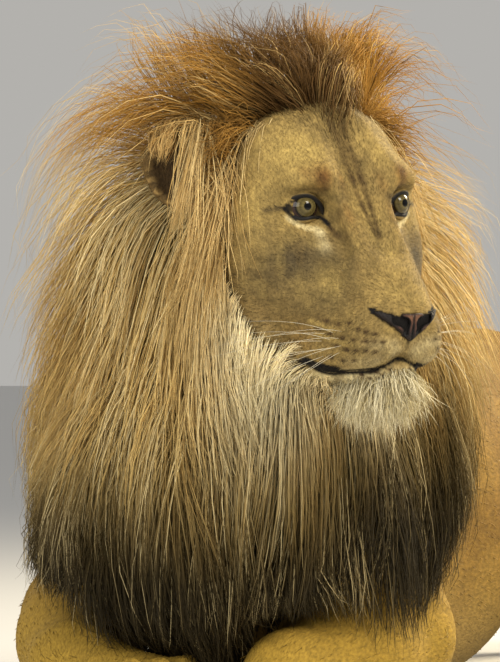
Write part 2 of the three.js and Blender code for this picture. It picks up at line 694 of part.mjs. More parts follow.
const shapes = {};
const keep = (name, made) => (shapes[name] = largest(made.subtract(FLOOR)));
const nostrils = onBoth((s) =>
  wrap(nostrilField(s), NOSTRIL(s), { rows: 6, sides: 6 }).body,
);
const lidded = fuse([parts.head.body, lidRim(1), lidRim(-1)]);
keep("head", cutBy(lidded, tool("eye_left", "eye_right", "nose_leather")));
keep("nose_leather", cutBy(parts.nose_leather.body, nostrils));
const beard = fuse(beardLocks).intersect(beardRoom.body);
keep("lower_jaw", cutBy(fuse([parts.lower_jaw.body, beard]), tool("head", "nose_leather")));
for (const side of sides) {
  keep("eye_" + side, parts["eye_" + side].body);
  const ear = parts["ear_" + side];
  keep("ear_" + side, cutBy(ear.body, [ear.hollow, ...tool("head", "lower_jaw")]));
  keep("upper_arm_" + side, cutBy(parts["upper_arm_" + side].body, tool("forearm_" + side)));
  keep("forearm_" + side, cutBy(parts["forearm_" + side].body, tool("forepaw_" + side)));
  keep("forepaw_" + side, parts["forepaw_" + side].body);
  keep("thigh_" + side, cutBy(parts["thigh_" + side].body, tool("shank_" + side, "hind_foot_" + side)));
  keep("shank_" + side, cutBy(parts["shank_" + side].body, tool("hind_foot_" + side)));
  keep("hind_foot_" + side, parts["hind_foot_" + side].body);
}
keep("torso", cutBy(parts.torso.body, tool(...LIMBS)));
keep("tail_root", cutBy(parts.tail_root.body, tool("torso", ...both("thigh"))));
keep("tail_middle", cutBy(parts.tail_middle.body, tool("tail_root")));
keep("tail_tuft", cutBy(fuse([parts.tail_tuft.body, ...tuftLocks]), tool("tail_middle")));
const inMane = tool("head", "nose_leather", "lower_jaw", ...both("ear"), "torso", ...LIMBS);
for (const [name, planes] of Object.entries(REGION_PLANES)) {
  const beyond = planes.map(({ point, normal }) =>
    halfSpace(point.clone().addScaledVector(normal, GAP / 2), normal),
  );
  keep(name, cutBy(fuse([maneCore, ...maneLocks[name]]), [...beyond, ...inMane, beardRoom.tool]));
}

// ---------- colours ----------
const paint = (color, roughness) => new THREE.MeshStandardMaterial({ color, roughness, metalness: 0 });
const MATERIALS = {
  coat: paint(0xb88a4a, 0.9),
  mane: paint(0x9a7646, 0.85),
  crest: paint(0xa5662c, 0.85),
  throat: paint(0x54402a, 0.85),
  nose: paint(0x3a2a26, 0.5),
  eye: paint(0xb09248, 0.15),
};
const FINISH = {
  nose_leather: "nose",
  eye_left: "eye",
  eye_right: "eye",
  neck_crest_mane: "crest",
  neck_right_mane: "mane",
  neck_left_mane: "mane",
  throat_mane: "throat",
  tail_tuft: "throat",
};

// ---------- the scene graph ----------
const GROUPS = [
  [v(...EYE_MIDDLE), ["head", "lower_jaw", "nose_leather", ...both("eye"), ...both("ear")]],
  [ATLAS, Object.keys(REGION_PLANES)],
  [v(0, 0, 0), ["torso"]],
  [FORELEG.left.elbow, ["upper_arm_left", "forearm_left", "forepaw_left"]],
  [FORELEG.right.elbow, ["upper_arm_right", "forearm_right", "forepaw_right"]],
  [HIP, ["thigh_left", "shank_left", "hind_foot_left"]],
  [mirrored(-1, HIP), ["thigh_right", "shank_right", "hind_foot_right"]],
  [TAIL[0], ["tail_root", "tail_middle", "tail_tuft"]],
];
function meshOf(name, origin) {
  const { vertProperties, triVerts, numProp } = shapes[name].getMesh();
  const count = vertProperties.length / numProp;
  const positions = new Float32Array(count * 3);
  for (let i = 0; i < count; i++) {
    positions.set(vertProperties.subarray(i * numProp, i * numProp + 3), i * 3);
  }
  const geometry = new THREE.BufferGeometry()
    .setAttribute("position", new THREE.BufferAttribute(positions, 3))
    .setIndex(new THREE.BufferAttribute(triVerts, 1))
    .translate(-origin.x, -origin.y, -origin.z);
  const mesh = new THREE.Mesh(geometry, MATERIALS[FINISH[name] ?? "coat"]);
  mesh.name = name;
  return mesh;
}
const lion = new THREE.Group();
for (const [origin, names] of GROUPS) {
  const group = new THREE.Group();
  group.position.copy(origin);
  group.add(...names.map((name) => meshOf(name, origin)));
  lion.add(group);
}

export default lion;
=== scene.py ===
import math

import bpy
import numpy as np
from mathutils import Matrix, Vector


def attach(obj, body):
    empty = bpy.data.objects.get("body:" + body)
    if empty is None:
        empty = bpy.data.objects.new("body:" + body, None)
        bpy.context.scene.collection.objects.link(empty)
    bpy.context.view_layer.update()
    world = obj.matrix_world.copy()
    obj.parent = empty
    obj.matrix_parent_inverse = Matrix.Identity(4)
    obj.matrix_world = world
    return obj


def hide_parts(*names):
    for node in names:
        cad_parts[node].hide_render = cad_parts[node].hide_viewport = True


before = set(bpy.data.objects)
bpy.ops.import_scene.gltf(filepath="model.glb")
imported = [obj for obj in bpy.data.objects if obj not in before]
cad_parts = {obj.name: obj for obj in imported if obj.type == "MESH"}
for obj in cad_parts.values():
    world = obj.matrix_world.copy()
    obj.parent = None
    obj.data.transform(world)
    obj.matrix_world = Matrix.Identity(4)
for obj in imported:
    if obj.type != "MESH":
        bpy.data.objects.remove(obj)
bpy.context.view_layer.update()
SEED = 20119
rng = np.random.default_rng(SEED)


# ---------- vectors ----------
def V(*xyz):
    return np.array(xyz, float)


def unit(v):
    v = np.asarray(v, float)
    return v / np.maximum(np.linalg.norm(v, axis=-1, keepdims=True), 1e-9)


def ramp(x, start, end):
    t = np.clip((x - start) / (end - start), 0, 1)
    return t * t * (3 - 2 * t)


def lerp(a, b, t):
    return a + (b - a) * t


UP = V(0, 0, 1)
WORLD = np.eye(3)
HEADING, HEAD_ROLL = math.radians(53), math.radians(2.5)
EYE_MIDDLE = V(226, -260, 618)
AHEAD = V(math.sin(HEADING), -math.cos(HEADING), 0)
LEFT = V(math.cos(HEADING), math.sin(HEADING), 0) * math.cos(HEAD_ROLL) + UP * math.sin(HEAD_ROLL)
TOP = np.cross(AHEAD, LEFT)
HEAD_AXES = np.array([AHEAD, LEFT, TOP])


def head(f, l, u):
    return EYE_MIDDLE + V(f, l, u) @ HEAD_AXES


def in_head(p):
    return (p - EYE_MIDDLE) @ HEAD_AXES.T


# ---------- distance fields: the same as the part's solids ----------
FAR = 1e3
REACH = 75  # past a field's box its distance no longer matters to a joint
SIDES = ((1, "left"), (-1, "right"))


def boxed(fn, lo, hi):
    fn.lo, fn.hi = lo, hi
    return fn


def smin(a, b, k):
    h = np.maximum(k - np.abs(a - b), 0) / k
    return np.minimum(a, b) - h * h * k / 4


def bar(a, b, ra, rb):
    a, b = np.asarray(a, float), np.asarray(b, float)
    along = b - a
    length2 = along @ along

    def fn(p):
        q = p - a
        t = np.clip(q @ along / length2, 0, 1)
        q -= t[:, None] * along
        return np.sqrt(np.einsum("ij,ij->i", q, q)) - ra - t * (rb - ra)

    r = max(ra, rb)
    return boxed(fn, np.minimum(a, b) - r, np.maximum(a, b) + r)


def egg(centre, radii, axes=WORLD):
    centre, radii, axes = np.asarray(centre, float), np.asarray(radii, float), np.asarray(axes)

    def fn(p):
        q = (p - centre) @ axes.T / radii
        near = np.sqrt(np.einsum("ij,ij->i", q, q))
        q /= radii
        steep = np.sqrt(np.einsum("ij,ij->i", q, q))
        return near * (near - 1) / np.maximum(steep, 1e-9)

    half = np.sqrt(((axes * radii[:, None]) ** 2).sum(0))
    return boxed(fn, centre - half, centre + half)


def head_egg(f, l, u, radii):
    return egg(head(f, l, u), radii, HEAD_AXES)


def join(fields, k):
    def fn(p):
        out = np.full(len(p), FAR)
        for field in fields:
            near = np.all((p > field.lo - REACH) & (p < field.hi + REACH), axis=1)
            if near.all():
                out = smin(out, field(p), k)
            elif near.any():
                out[near] = smin(out[near], field(p[near]), k)
        return out

    lo = np.min([f.lo for f in fields], axis=0)
    return boxed(fn, lo, np.max([f.hi for f in fields], axis=0))


def carve(field, tool, k):
    return boxed(lambda p: -smin(-field(p), tool(p), k), field.lo, field.hi)


def swell(field, by):
    return boxed(lambda p: field(p) - by, field.lo - by, field.hi + by)


def slope(field, p, h=1.5):
    steps = [(field(p + h * axis) - field(p - h * axis)) for axis in WORLD]
    return unit(np.stack(steps, axis=1))


def both(make):
    return [make(1), make(-1)]


def flip(s, p):
    return V(s * p[0], p[1], p[2])


def head_bars(a, b, ra, rb):
    """A bar in the head's frame and its mirror image."""
    return both(lambda s: bar(head(a[0], s * a[1], a[2]), head(b[0], s * b[1], b[2]), ra, rb))


def head_eggs(centre, radii):
    """An egg in the head's frame and its mirror image."""
    return both(lambda s: head_egg(centre[0], s * centre[1], centre[2], radii))


# ---------- the skeleton ----------
ATLAS, NECK_ROOT, WITHERS = V(78, -148, 596), V(0, 40, 350), V(0, 110, 440)
BLADE, SHOULDER = V(92, 110, 395), V(132, -40, 262)
FORELEG = {
    1: (V(156, 96, 104), V(124, -182, 72), V(118, -312, 44)),
    -1: (V(-246, 92, 114), V(-156, -158, 76), V(2, -232, 52)),
}
HIP, KNEE, HOCK, HIND_TOES = V(105, 985, 300), V(205, 730, 175), V(178, 1020, 58), V(206, 735, 36)
TAIL = [
    V(0, 1130, 345),
    V(4, 1215, 262),
    V(22, 1275, 120),
    V(95, 1310, 32),
    V(235, 1270, 23),
    V(345, 1150, 23),
    V(390, 1000, 23),
    V(380, 850, 30),
    V(352, 740, 32),
]

# ---------- trunk and limbs ----------
TRUNK = join([
    egg(V(0, 10, 190), [128, 160, 187]),
    egg(V(0, 250, 235), [166, 320, 240]),
    egg(V(0, 560, 205), [178, 340, 210]),
    bar(V(0, 480, 300), V(0, 900, 295), 165, 150),
    egg(V(0, 985, 310), [138, 195, 165]),
    bar(V(0, 150, 400), V(0, 950, 395), 72, 66),
    *both(lambda s: egg(V(s * 60, 130, 385), [52, 150, 112])),
], 60)


def arm_field(s):
    elbow = FORELEG[s][0]
    return join([
        bar(flip(s, BLADE), flip(s, SHOULDER), 60, 82),
        bar(flip(s, SHOULDER), elbow, 82, 72),
        bar(V(s * 100, 150, 300), elbow, 76, 64),
    ], 45)


def forearm_field(s):
    elbow, wrist, _ = FORELEG[s]
    return join([
        bar(elbow, lerp(elbow, wrist, 0.45), 80, 74),
        bar(lerp(elbow, wrist, 0.4), wrist, 74, 58),
        egg(elbow + V(0, 50, -28), [40, 48, 42]),
    ], 40)


def paw_frame(ankle, toes):
    along = unit((toes - ankle) * V(1, 1, 0))
    return along, V(-along[1], along[0], 0)


def toe_centre(ankle, toes, size, n):
    along, across = paw_frame(ankle, toes)
    return toes + across * n * 0.5 * size - along * (0.45 if abs(n) > 1 else 0.15) * size


def paw_field(ankle, toes, size):
    along, across = paw_frame(ankle, toes)
    axes = np.array([along, across, UP])
    knuckles = toes - along * 0.75 * size
    each = [toe_centre(ankle, toes, size, n) for n in (-1.5, -0.5, 0.5, 1.5)]
    return join([
        bar(ankle, knuckles, 0.9 * size, 0.8 * size),
        egg(knuckles, [0.95 * size, 1.05 * size, 0.8 * size], axes),
        *[egg(V(c[0], c[1], toes[2] - 2), [0.66 * size, 0.3 * size, toes[2]], axes) for c in each],
    ], 0.16 * size)


def thigh_field(s):
    return join([
        bar(flip(s, HIP), flip(s, KNEE), 128, 76),
        bar(V(s * 96, 1080, 250), V(s * 166, 930, 110), 90, 66),
        egg(V(s * 168, 850, 195), [60, 150, 112]),
    ], 60)


def shank_field(s):
    hock = flip(s, HOCK)
    return join([bar(V(s * 232, 740, 140), hock, 66, 42), egg(hock + V(0, 28, 2), [26, 32, 36])], 30)


def tail_bars(start, end, ra, rb):
    run = end - start
    radius = lambda j: lerp(ra, rb, j / run)
    return [bar(TAIL[start + j], TAIL[start + j + 1], radius(j), radius(j + 1)) for j in range(run)]


HEEL = {s: flip(s, HOCK) * V(1, 1, 0) + V(0, 0, 42) for s in (1, -1)}
# The ankle, toes and size of each side's two paws.
PAW_PLANS = {s: ((*FORELEG[s][1:], 60), (HEEL[s], flip(s, HIND_TOES), 50)) for s in (1, -1)}
FOREPAW, HINDPAW = ({s: paw_field(*PAW_PLANS[s][i]) for s in (1, -1)} for i in (0, 1))
ARMS = {s: join([arm_field(s), forearm_field(s)], 20) for s in (1, -1)}
THIGHS = {s: thigh_field(s) for s in (1, -1)}
SHANKS = {s: shank_field(s) for s in (1, -1)}
TUFT_CORE = join([*tail_bars(6, 8, 24, 20), egg(TAIL[8], [22, 34, 18])], 8)
TAIL_FLESH = join([*tail_bars(0, 3, 52, 30), *tail_bars(3, 6, 30, 24), TUFT_CORE], 6)
LEGS = join([*ARMS.values(), *FOREPAW.values()], 1)

# ---------- head and neck ----------
SKULL = join([
    head_egg(-92, 0, 22, [112, 98, 92]),
    head_egg(-66, 0, 52, [52, 92, 60]),
    *head_bars((-5, 19, 12), (80, 16, -126), 27, 24),
    *head_eggs((-3, 54, 28), [22, 32, 16]),
    *head_eggs((-62, 84, -34), [50, 37, 54]),
    *head_eggs((-86, 70, -92), [70, 42, 80]),
    *head_bars((-58, 62, -76), (30, 28, -142), 46, 32),
    bar(head(-40, 0, -62), head(48, 0, -120), 74, 44),
], 42)
PADS = join([
    *head_eggs((58, 31, -153), [48, 34, 36]),
    *head_eggs((20, 46, -160), [48, 26, 30]),
], 12)
JAW = join([
    head_egg(54, 0, -191, [36, 34, 25]),
    *head_bars((46, 14, -184), (-74, 52, -160), 25, 34),
    bar(head(-60, 0, -165), head(10, 0, -182), 50, 30),
], 20)
NECK = join([
    bar(NECK_ROOT, ATLAS, 160, 108),
    bar(V(5, -60, 270), head(-95, 0, -80), 128, 92),
    bar(WITHERS, ATLAS, 90, 80),
], 60)
NOSE = join([
    head_egg(96, 0, -136, [16, 27, 19]),
    *head_bars((96, 12, -137), (91, 38, -122), 16, 12),
    head_egg(99, 0, -152, [10, 8, 13]),
], 8)
EYE_R = 18


def eye_centre(s):
    return head(-8, s * 63, 0)


EYE_HOLLOWS = join([
    *head_eggs((21, 68, -1), [24, 27, 20]),
    *head_bars((18, 46, -10), (46, 42, -52), 9, 4),
], 8)
HEAD = carve(join([SKULL, PADS], 18), EYE_HOLLOWS, 14)


def ear_frame(s):
    facing = unit(V(0.62, s * 0.78, -0.06)) @ HEAD_AXES
    height = unit(TOP - facing * (TOP @ facing))
    return np.array([facing, height, np.cross(facing, height)])


def ear_centre(s):
    return head(-152, s * 125, 54)


def ear_field(s):
    return egg(ear_centre(s), [27, 55, 53], ear_frame(s))


def ear_hollow(s):
    return egg(ear_centre(s) + ear_frame(s)[0] * 20, [27, 46, 44], ear_frame(s))


def nearer(form, p):
    """Distance to the nearer of a form's two sides, left and right."""
    return np.minimum(form(1)(p), form(-1)(p))


# ---------- the skin ----------
COAT, FACE_COAT = 5, 1.5  # depth of the short fur on the body and on the face
BODY = join(
    [TRUNK, *ARMS.values(), *FOREPAW.values(), *THIGHS.values(), *SHANKS.values(), *HINDPAW.values(),
     TAIL_FLESH, NECK],
    22,
)
NOSE_FLESH = [
    head_egg(86, 0, -150, [19, 14, 18]),
    *head_bars((90, 9, -133), (79, 32, -121), 16, 13),
]
FACE = join([HEAD, *NOSE_FLESH, *both(lambda s: egg(eye_centre(s), [20.4] * 3))], 8)
PHILTRUM = bar(head(110, 0, -158), head(101, 0, -184), 2.5, 4)
# The leather's outline as seen from ahead: left and up in the head's frame, mirrored.
NOSE_OUTLINE = [(0, -124), (11, -123.5), (18, -126), (30, -122), (44, -114), (43, -121), (31, -132),
                (17, -142), (6, -151), (0, -155)]


def nose_outline(p):
    """Distance to the leather's outline in the plane across the head, negative inside it."""
    q = in_head(p)
    x = np.stack([np.abs(q[:, 1]), q[:, 2]], axis=1)
    edge = np.full(len(p), FAR)
    inside = np.zeros(len(p), bool)
    ends = [V(*e) for e in NOSE_OUTLINE]
    for a, b in zip(ends, ends[1:] + ends[:1]):
        d = b - a
        t = np.clip((x - a) @ d / (d @ d), 0, 1)
        edge = np.minimum(edge, np.linalg.norm(x - a - t[:, None] * d, axis=1))
        over = (a[1] > x[:, 1]) != (b[1] > x[:, 1])
        at = a[0] + (x[:, 1] - a[1]) * d[0] / (d[1] if d[1] else 1e-9)
        inside ^= over & (x[:, 0] < at)
    return np.where(inside, -edge, edge)


FURROW = join(  # the forehead's shallow valley between the brows
    [bar(head(16, 0, 104), head(58, 0, 32), 40, 40), bar(head(58, 0, 32), head(90, 0, -22), 40, 38)], 4
)
MUZZLE = join([carve(carve(FACE, FURROW, 16), PHILTRUM, 4), JAW], 2.5)
OPENINGS = both(lambda s: egg(eye_centre(s) + V(17, 0, -2) @ HEAD_AXES, [14, 20, 15], HEAD_AXES))
EARS = [carve(ear_field(s), ear_hollow(s), 6) for s in (1, -1)]
HEAD_SKIN = carve(join([MUZZLE, *EARS], 12), join(OPENINGS, 2), 3)
FLESH = join([swell(BODY, -COAT), swell(HEAD_SKIN, -FACE_COAT)], 16)


FLOOR_GAP = 1.5  # the skin stays this far off the floor


def skin_field(p):
    return np.maximum(FLESH(p), FLOOR_GAP - p[:, 2])


def mane_depth(p):
    """How far out of the neck and skull a point lies, as the mane's hair counts it."""
    return smin(NECK(p), SKULL(p) / 0.75, 50)


HAIRLINE_POINT, HAIRLINE_NORMAL = head(-72, 0, 90), unit(V(0.972, 0, 0.236)) @ HEAD_AXES


def ahead_of_hairline(p):
    """How far ahead of the mane's front edge, which comes forward in a peak over the forehead."""
    f, l, u = in_head(p).T
    peak = 34 * (1 - ramp(np.abs(l), 10, 85)) * ramp(u, 20, 85)
    return (p - HAIRLINE_POINT) @ HAIRLINE_NORMAL - peak + 46 * ramp(np.abs(l), 40, 100)


# ---------- a closed surface from a field, by surface nets on an uneven grid ----------
BLOCKS_AT_ONCE, ROOTS_AT_ONCE = 400, 2000  # keep the arrays small


def grid_line(lo, hi, fine_lo, fine_hi, fine, coarse):
    """Coordinates that are `fine` apart between fine_lo and fine_hi and ease to `coarse` outside."""
    def walk(start, stop, sign):
        at, step, out = start, fine, []
        while sign * (stop - at) > 0:
            step = min(step * 1.12, coarse)
            at += sign * step
            out.append(at)
        return out

    middle = list(np.arange(fine_lo, fine_hi, fine))
    return np.array(walk(fine_lo, lo, -1)[::-1] + middle + walk(middle[-1], hi, 1))


def sample_grid(field, lines, block=8):
    """The field on the grid, worked out only in the blocks that its surface may cross."""
    counts = [len(line) for line in lines]
    padded = [int(math.ceil(n / block)) * block for n in counts]
    lines = [np.append(line, np.full(m - n, line[-1])) for line, n, m in zip(lines, counts, padded)]
    shape = [m // block for m in padded]
    corners = [line.reshape(-1, block) for line in lines]
    mids = np.meshgrid(*[(c[:, 0] + c[:, -1]) / 2 for c in corners], indexing="ij")
    halves = np.meshgrid(*[(c[:, -1] - c[:, 0]) / 2 + 6 for c in corners], indexing="ij")
    centre = np.stack([m.ravel() for m in mids], axis=1)
    radius = np.sqrt(sum(h.ravel() ** 2 for h in halves))
    coarse = field(centre)
    values = np.broadcast_to(np.sign(coarse).reshape(*shape, 1, 1, 1) * FAR, (*shape, *[block] * 3)).copy()
    keep = np.flatnonzero(np.abs(coarse) < 1.5 * radius + 12)  # a field may overstate how far off it is
    index = np.stack(np.unravel_index(keep, shape), axis=1)
    for chunk in np.array_split(index, max(1, len(index) // BLOCKS_AT_ONCE)):
        xs, ys, zs = (corners[a][chunk[:, a]] for a in range(3))
        points = np.empty((len(chunk), block, block, block, 3))
        points[..., 0] = xs[:, :, None, None]
        points[..., 1] = ys[:, None, :, None]
        points[..., 2] = zs[:, None, None, :]
        found = field(points.reshape(-1, 3)).reshape(len(chunk), block, block, block)
        values[chunk[:, 0], chunk[:, 1], chunk[:, 2]] = found
    grid = values.transpose(0, 3, 1, 4, 2, 5).reshape(padded)
    return grid[: counts[0], : counts[1], : counts[2]]


def surface_of(field, lines, polish=3):
    """Vertices and triangles of the field's zero surface, facing out."""
    values = sample_grid(field, lines)
    inside = values < 0
    cells = [n - 1 for n in values.shape]
    offsets = np.array(list(np.ndindex(2, 2, 2)))
    views = [tuple(slice(o, o + n) for o, n in zip(offset, cells)) for offset in offsets]
    total = sum(inside[view].astype(np.int8) for view in views)
    active = np.flatnonzero((total > 0) & (total < 8))
    ijk = np.stack(np.unravel_index(active, cells), axis=1)
    at = ijk[:, None, :] + offsets[None]
    value = values[at[..., 0], at[..., 1], at[..., 2]]
    place = np.stack([lines[a][at[..., a]] for a in range(3)], axis=2)
    summed, hits = np.zeros((len(ijk), 3)), np.zeros(len(ijk))
    for i in range(8):
        for j in range(i + 1, 8):
            if np.abs(offsets[i] - offsets[j]).sum() != 1:
                continue
            crosses = (value[:, i] < 0) != (value[:, j] < 0)
            a, b = value[crosses, i], value[crosses, j]
            t = (a / (a - b))[:, None]
            summed[crosses] += place[crosses, i] * (1 - t) + place[crosses, j] * t
            hits[crosses] += 1
    verts = summed / hits[:, None]
    number = np.full(cells, -1, np.int64)
    number[ijk[:, 0], ijk[:, 1], ijk[:, 2]] = np.arange(len(ijk))
    faces = []
    for axis in range(3):
        one, two = (axis + 1) % 3, (axis + 2) % 3
        low, high = [slice(1, -1)] * 3, [slice(1, -1)] * 3
        low[axis], high[axis] = slice(0, -1), slice(1, None)
        crossing = inside[tuple(low)] != inside[tuple(high)]
        edge = np.stack(np.nonzero(crossing), axis=1)
        edge[:, [one, two]] += 1
        out = inside[edge[:, 0], edge[:, 1], edge[:, 2]]
        ring = []
        for step in ((-1, -1), (0, -1), (0, 0), (-1, 0)):
            cell = edge.copy()
            cell[:, [one, two]] += step
            ring.append(number[cell[:, 0], cell[:, 1], cell[:, 2]])
        quad = np.stack(ring, axis=1)
        quad[~out] = quad[~out][:, ::-1]
        faces.append(quad)
    quads = np.concatenate(faces)
    quads = quads[(quads >= 0).all(axis=1)]
    for _ in range(polish):
        verts = verts - slope(field, verts, 0.8) * np.clip(field(verts), -4, 4)[:, None]
    return verts, np.concatenate([quads[:, [0, 1, 2]], quads[:, [0, 2, 3]]])


# ---------- meshes ----------
def mesh_object(name, verts, tris, material, colours=None, uvs=None):
    """A smooth-shaded object from vertices in millimetres; colours are per vertex, uvs per corner."""
    mesh = bpy.data.meshes.new(name)
    mesh.vertices.add(len(verts))
    mesh.vertices.foreach_set("co", (verts / 1000).astype(np.float32).ravel())
    mesh.loops.add(tris.size)
    mesh.loops.foreach_set("vertex_index", tris.astype(np.int32).ravel())
    mesh.polygons.add(len(tris))
    mesh.polygons.foreach_set("loop_start", np.arange(0, tris.size, 3, dtype=np.int32))
    mesh.update(calc_edges=True)
    mesh.polygons.foreach_set("use_smooth", np.ones(len(tris), bool))
    if colours is not None:
        layer = mesh.color_attributes.new(name="Col", type="FLOAT_COLOR", domain="POINT")
        rgba = np.concatenate([colours, np.ones((len(colours), 1))], axis=1)
        layer.data.foreach_set("color", rgba.astype(np.float32).ravel())
    if uvs is not None:
        layer = mesh.uv_layers.new(name="OFBake")
        layer.data.foreach_set("uv", uvs.astype(np.float32).ravel())
    mesh.materials.append(material)
    thing = bpy.data.objects.new(name, mesh)
    bpy.context.scene.collection.objects.link(thing)
    return thing


def dress(thing, nodes=()):
    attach(thing, "root")
    if nodes:
        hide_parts(*nodes)
    return thing


# ---------- noise ----------
def value_noise(p, scale, seed=0):
    """Smooth noise between 0 and 1 with features about `scale` across."""
    q = p / scale + seed * 17.17
    base = np.floor(q)
    t = q - base
    t = t * t * (3 - 2 * t)
    base = base.astype(np.int64)
    total = np.zeros(len(p))
    for dx, dy, dz in np.ndindex(2, 2, 2):
        h = (base[:, 0] + dx) * 374761393 + (base[:, 1] + dy) * 668265263
        h = h + (base[:, 2] + dz) * 2147483647 + seed * 144269
        h = (h ^ (h >> 13)) * 1274126177
        h = ((h ^ (h >> 16)) & 0xFFFF) / 65535
        weight = (t[:, 0] if dx else 1 - t[:, 0]) * (t[:, 1] if dy else 1 - t[:, 1])
        total += h * weight * (t[:, 2] if dz else 1 - t[:, 2])
    return total


def rgb(r, g, b):
    """A named colour, from 0 to 255 as a screen shows it, as linear light."""
    c = V(r, g, b) / 255
    return np.where(c <= 0.04045, c / 12.92, ((c + 0.055) / 1.055) ** 2.4)


TAN, TAN_LIGHT, BELLY = rgb(121, 91, 36), rgb(139, 108, 47), rgb(166, 142, 92)
LEG_GOLD, PAW_CREAM = rgb(162, 131, 49), rgb(192, 174, 120)
FACE_TAN, FACE_LIGHT, CHEEK_GREY = rgb(138, 115, 66), rgb(166, 141, 80), rgb(72, 61, 40)
CREAM, UNDER_EYE = rgb(206, 190, 144), rgb(192, 174, 126)
# The dull dark brown serves soft dark marks and painted shade in the forehead's furrow and above the lids'
# folds.
BLACK, SPOT_BROWN, DARK_MARK_AND_SHADE, RUST = rgb(12, 9, 8), rgb(58, 40, 20), rgb(66, 54, 34), rgb(118, 78, 32)
NOSE_BROWN, NOSE_DARK = rgb(92, 60, 48), rgb(28, 19, 16)
# The ear's hollow is painted dark for the shade inside it.
EAR_DARK, EAR_HOLLOW_SHADE, EAR_RIM = rgb(70, 50, 26), rgb(58, 43, 24), rgb(172, 140, 84)
CREST, CREST_GOLD, CREST_BROWN = rgb(174, 126, 50), rgb(232, 184, 88), rgb(92, 64, 28)
BLOND, BLOND_LIGHT, MANE_TAN = rgb(212, 180, 112), rgb(248, 228, 174), rgb(168, 136, 78)
RUFF_PALE, MANE_DARK, MANE_BROWN = rgb(248, 234, 190), rgb(44, 36, 17), rgb(106, 87, 46)


def tint(colours, *layers):
    """Lays colours over others, one after another, each by its weight at every point."""
    for colour, weight in layers:
        colours = colours + (colour - colours) * np.clip(weight, 0, 1)[:, None]
    return colours


def stroke(q, points, width, soft):
    """How much a line through points in the head's frame covers q.

    It lies on both sides of the face, unless it starts on the right.
    """
    flat = V(0.3, 1, 1)  # how far ahead a point lies matters less than where it is seen from ahead
    one_sided = points[0][1] < 0
    a = np.stack([q[:, 0], q[:, 1] if one_sided else np.abs(q[:, 1]), q[:, 2]], axis=1) * flat
    best = np.full(len(q), FAR)
    for start, end in zip(points, points[1:]):
        s, d = V(*start) * flat, (V(*end) - V(*start)) * flat
        t = np.clip((a - s) @ d / (d @ d), 0, 1)
        best = np.minimum(best, np.linalg.norm(a - s - t[:, None] * d, axis=1))
    return 1 - ramp(best, width, width + soft)


def blob(q, centre, radii):
    """A soft spot, 1 in the middle, on both sides of the head."""
    a = np.stack([q[:, 0], np.abs(q[:, 1]), q[:, 2]], axis=1)
    return np.exp(-(((a - V(*centre)) / V(*radii)) ** 2).sum(axis=1))


# ---------- camera, light and floor ----------
scene = bpy.context.scene
scene.view_settings.view_transform = "Standard"
VIEW = math.radians(20)
BACK, RIGHT = V(math.sin(VIEW), -math.cos(VIEW), 0), V(math.cos(VIEW), math.sin(VIEW), 0)
AIM = RIGHT * 0.008 + V(0, 0, 0.475) + BACK * 0.32
LENS, SENSOR, FAR_BACK, PHOTO = 239, 36, 5, (500, 662)


def aimed(thing, place, target):
    """Puts an object at a place, looking at a target, in metres."""
    thing.location = place
    thing.rotation_euler = Vector(V(*target) - V(*place)).to_track_quat("-Z", "Y").to_euler()
    scene.collection.objects.link(thing)
    return thing


camera = bpy.data.cameras.new("camera")
camera.lens, camera.sensor_width = LENS, SENSOR
scene.camera = aimed(bpy.data.objects.new("camera", camera), AIM + BACK * FAR_BACK, AIM)

for name, place, size, power, colour in [
    ("key", BACK * 2.6 + RIGHT * 2.2 + V(0, 0, 3.0), 1.4, 165, (1.0, 0.94, 0.82)),
    ("rim", BACK * -2.4 + RIGHT * 2.3 + V(0, 0, 2.4), 1.2, 205, (1.0, 0.86, 0.6)),
    ("fill", BACK * 2.8 - RIGHT * 3.2 + V(0, 0, 1.8), 2.6, 120, (1.0, 0.97, 0.9)),
]:
    lamp = bpy.data.lights.new(name, "AREA")
    lamp.size, lamp.energy, lamp.color = size, power, colour
    aimed(bpy.data.objects.new(name, lamp), place, V(0.1, -0.1, 0.5))
world = bpy.data.worlds.new("studio")
scene.world = world
world.use_nodes = True
world.node_tree.nodes["Background"].inputs["Color"].default_value = (0.82, 0.8, 0.76, 1)
world.node_tree.nodes["Background"].inputs["Strength"].default_value = 0.55


# ---------- materials ----------
def shader(name, **inputs):
    material = bpy.data.materials.new(name)
    material.use_nodes = True
    principled = material.node_tree.nodes["Principled BSDF"]
    for key, value in inputs.items():
        principled.inputs[key.replace("_", " ")].default_value = value
    return material, material.node_tree, principled


def add_node(tree, kind, **inputs):
    """A shader node with some of its inputs set, named with _ for a space."""
    made = tree.nodes.new("ShaderNode" + kind)
    for key, value in inputs.items():
        made.inputs[key.replace("_", " ")].default_value = value
    return made


def hair_material(name, grain, depth, bump=0.0, stretch=(1, 1, 1), **inputs):
    """The coat's own colours, with fine lighter and darker hairs, and a nap in its relief."""
    material, tree, principled = shader(name, **inputs)
    link = tree.links.new
    colour = add_node(tree, "VertexColor")
    colour.layer_name = "Col"
    place, along = add_node(tree, "TexCoord"), add_node(tree, "Mapping", Scale=stretch)
    grains = add_node(tree, "TexNoise", Scale=grain, Detail=4)
    shade = add_node(tree, "MapRange", From_Min=0.3, From_Max=0.7, To_Min=1 - depth, To_Max=1 + depth)
    vary = add_node(tree, "VectorMath")
    vary.operation = "SCALE"
    link(place.outputs["Object"], along.inputs["Vector"])
    link(along.outputs["Vector"], grains.inputs["Vector"])
    link(grains.outputs["Fac"], shade.inputs["Value"])
    link(colour.outputs["Color"], vary.inputs[0])
    link(shade.outputs["Result"], vary.inputs["Scale"])
    link(vary.outputs["Vector"], principled.inputs["Base Color"])
    if bump:
        relief = add_node(tree, "Bump", Strength=bump, Distance=0.002)
        link(grains.outputs["Fac"], relief.inputs["Height"])
        link(relief.outputs["Normal"], principled.inputs["Normal"])
    return material


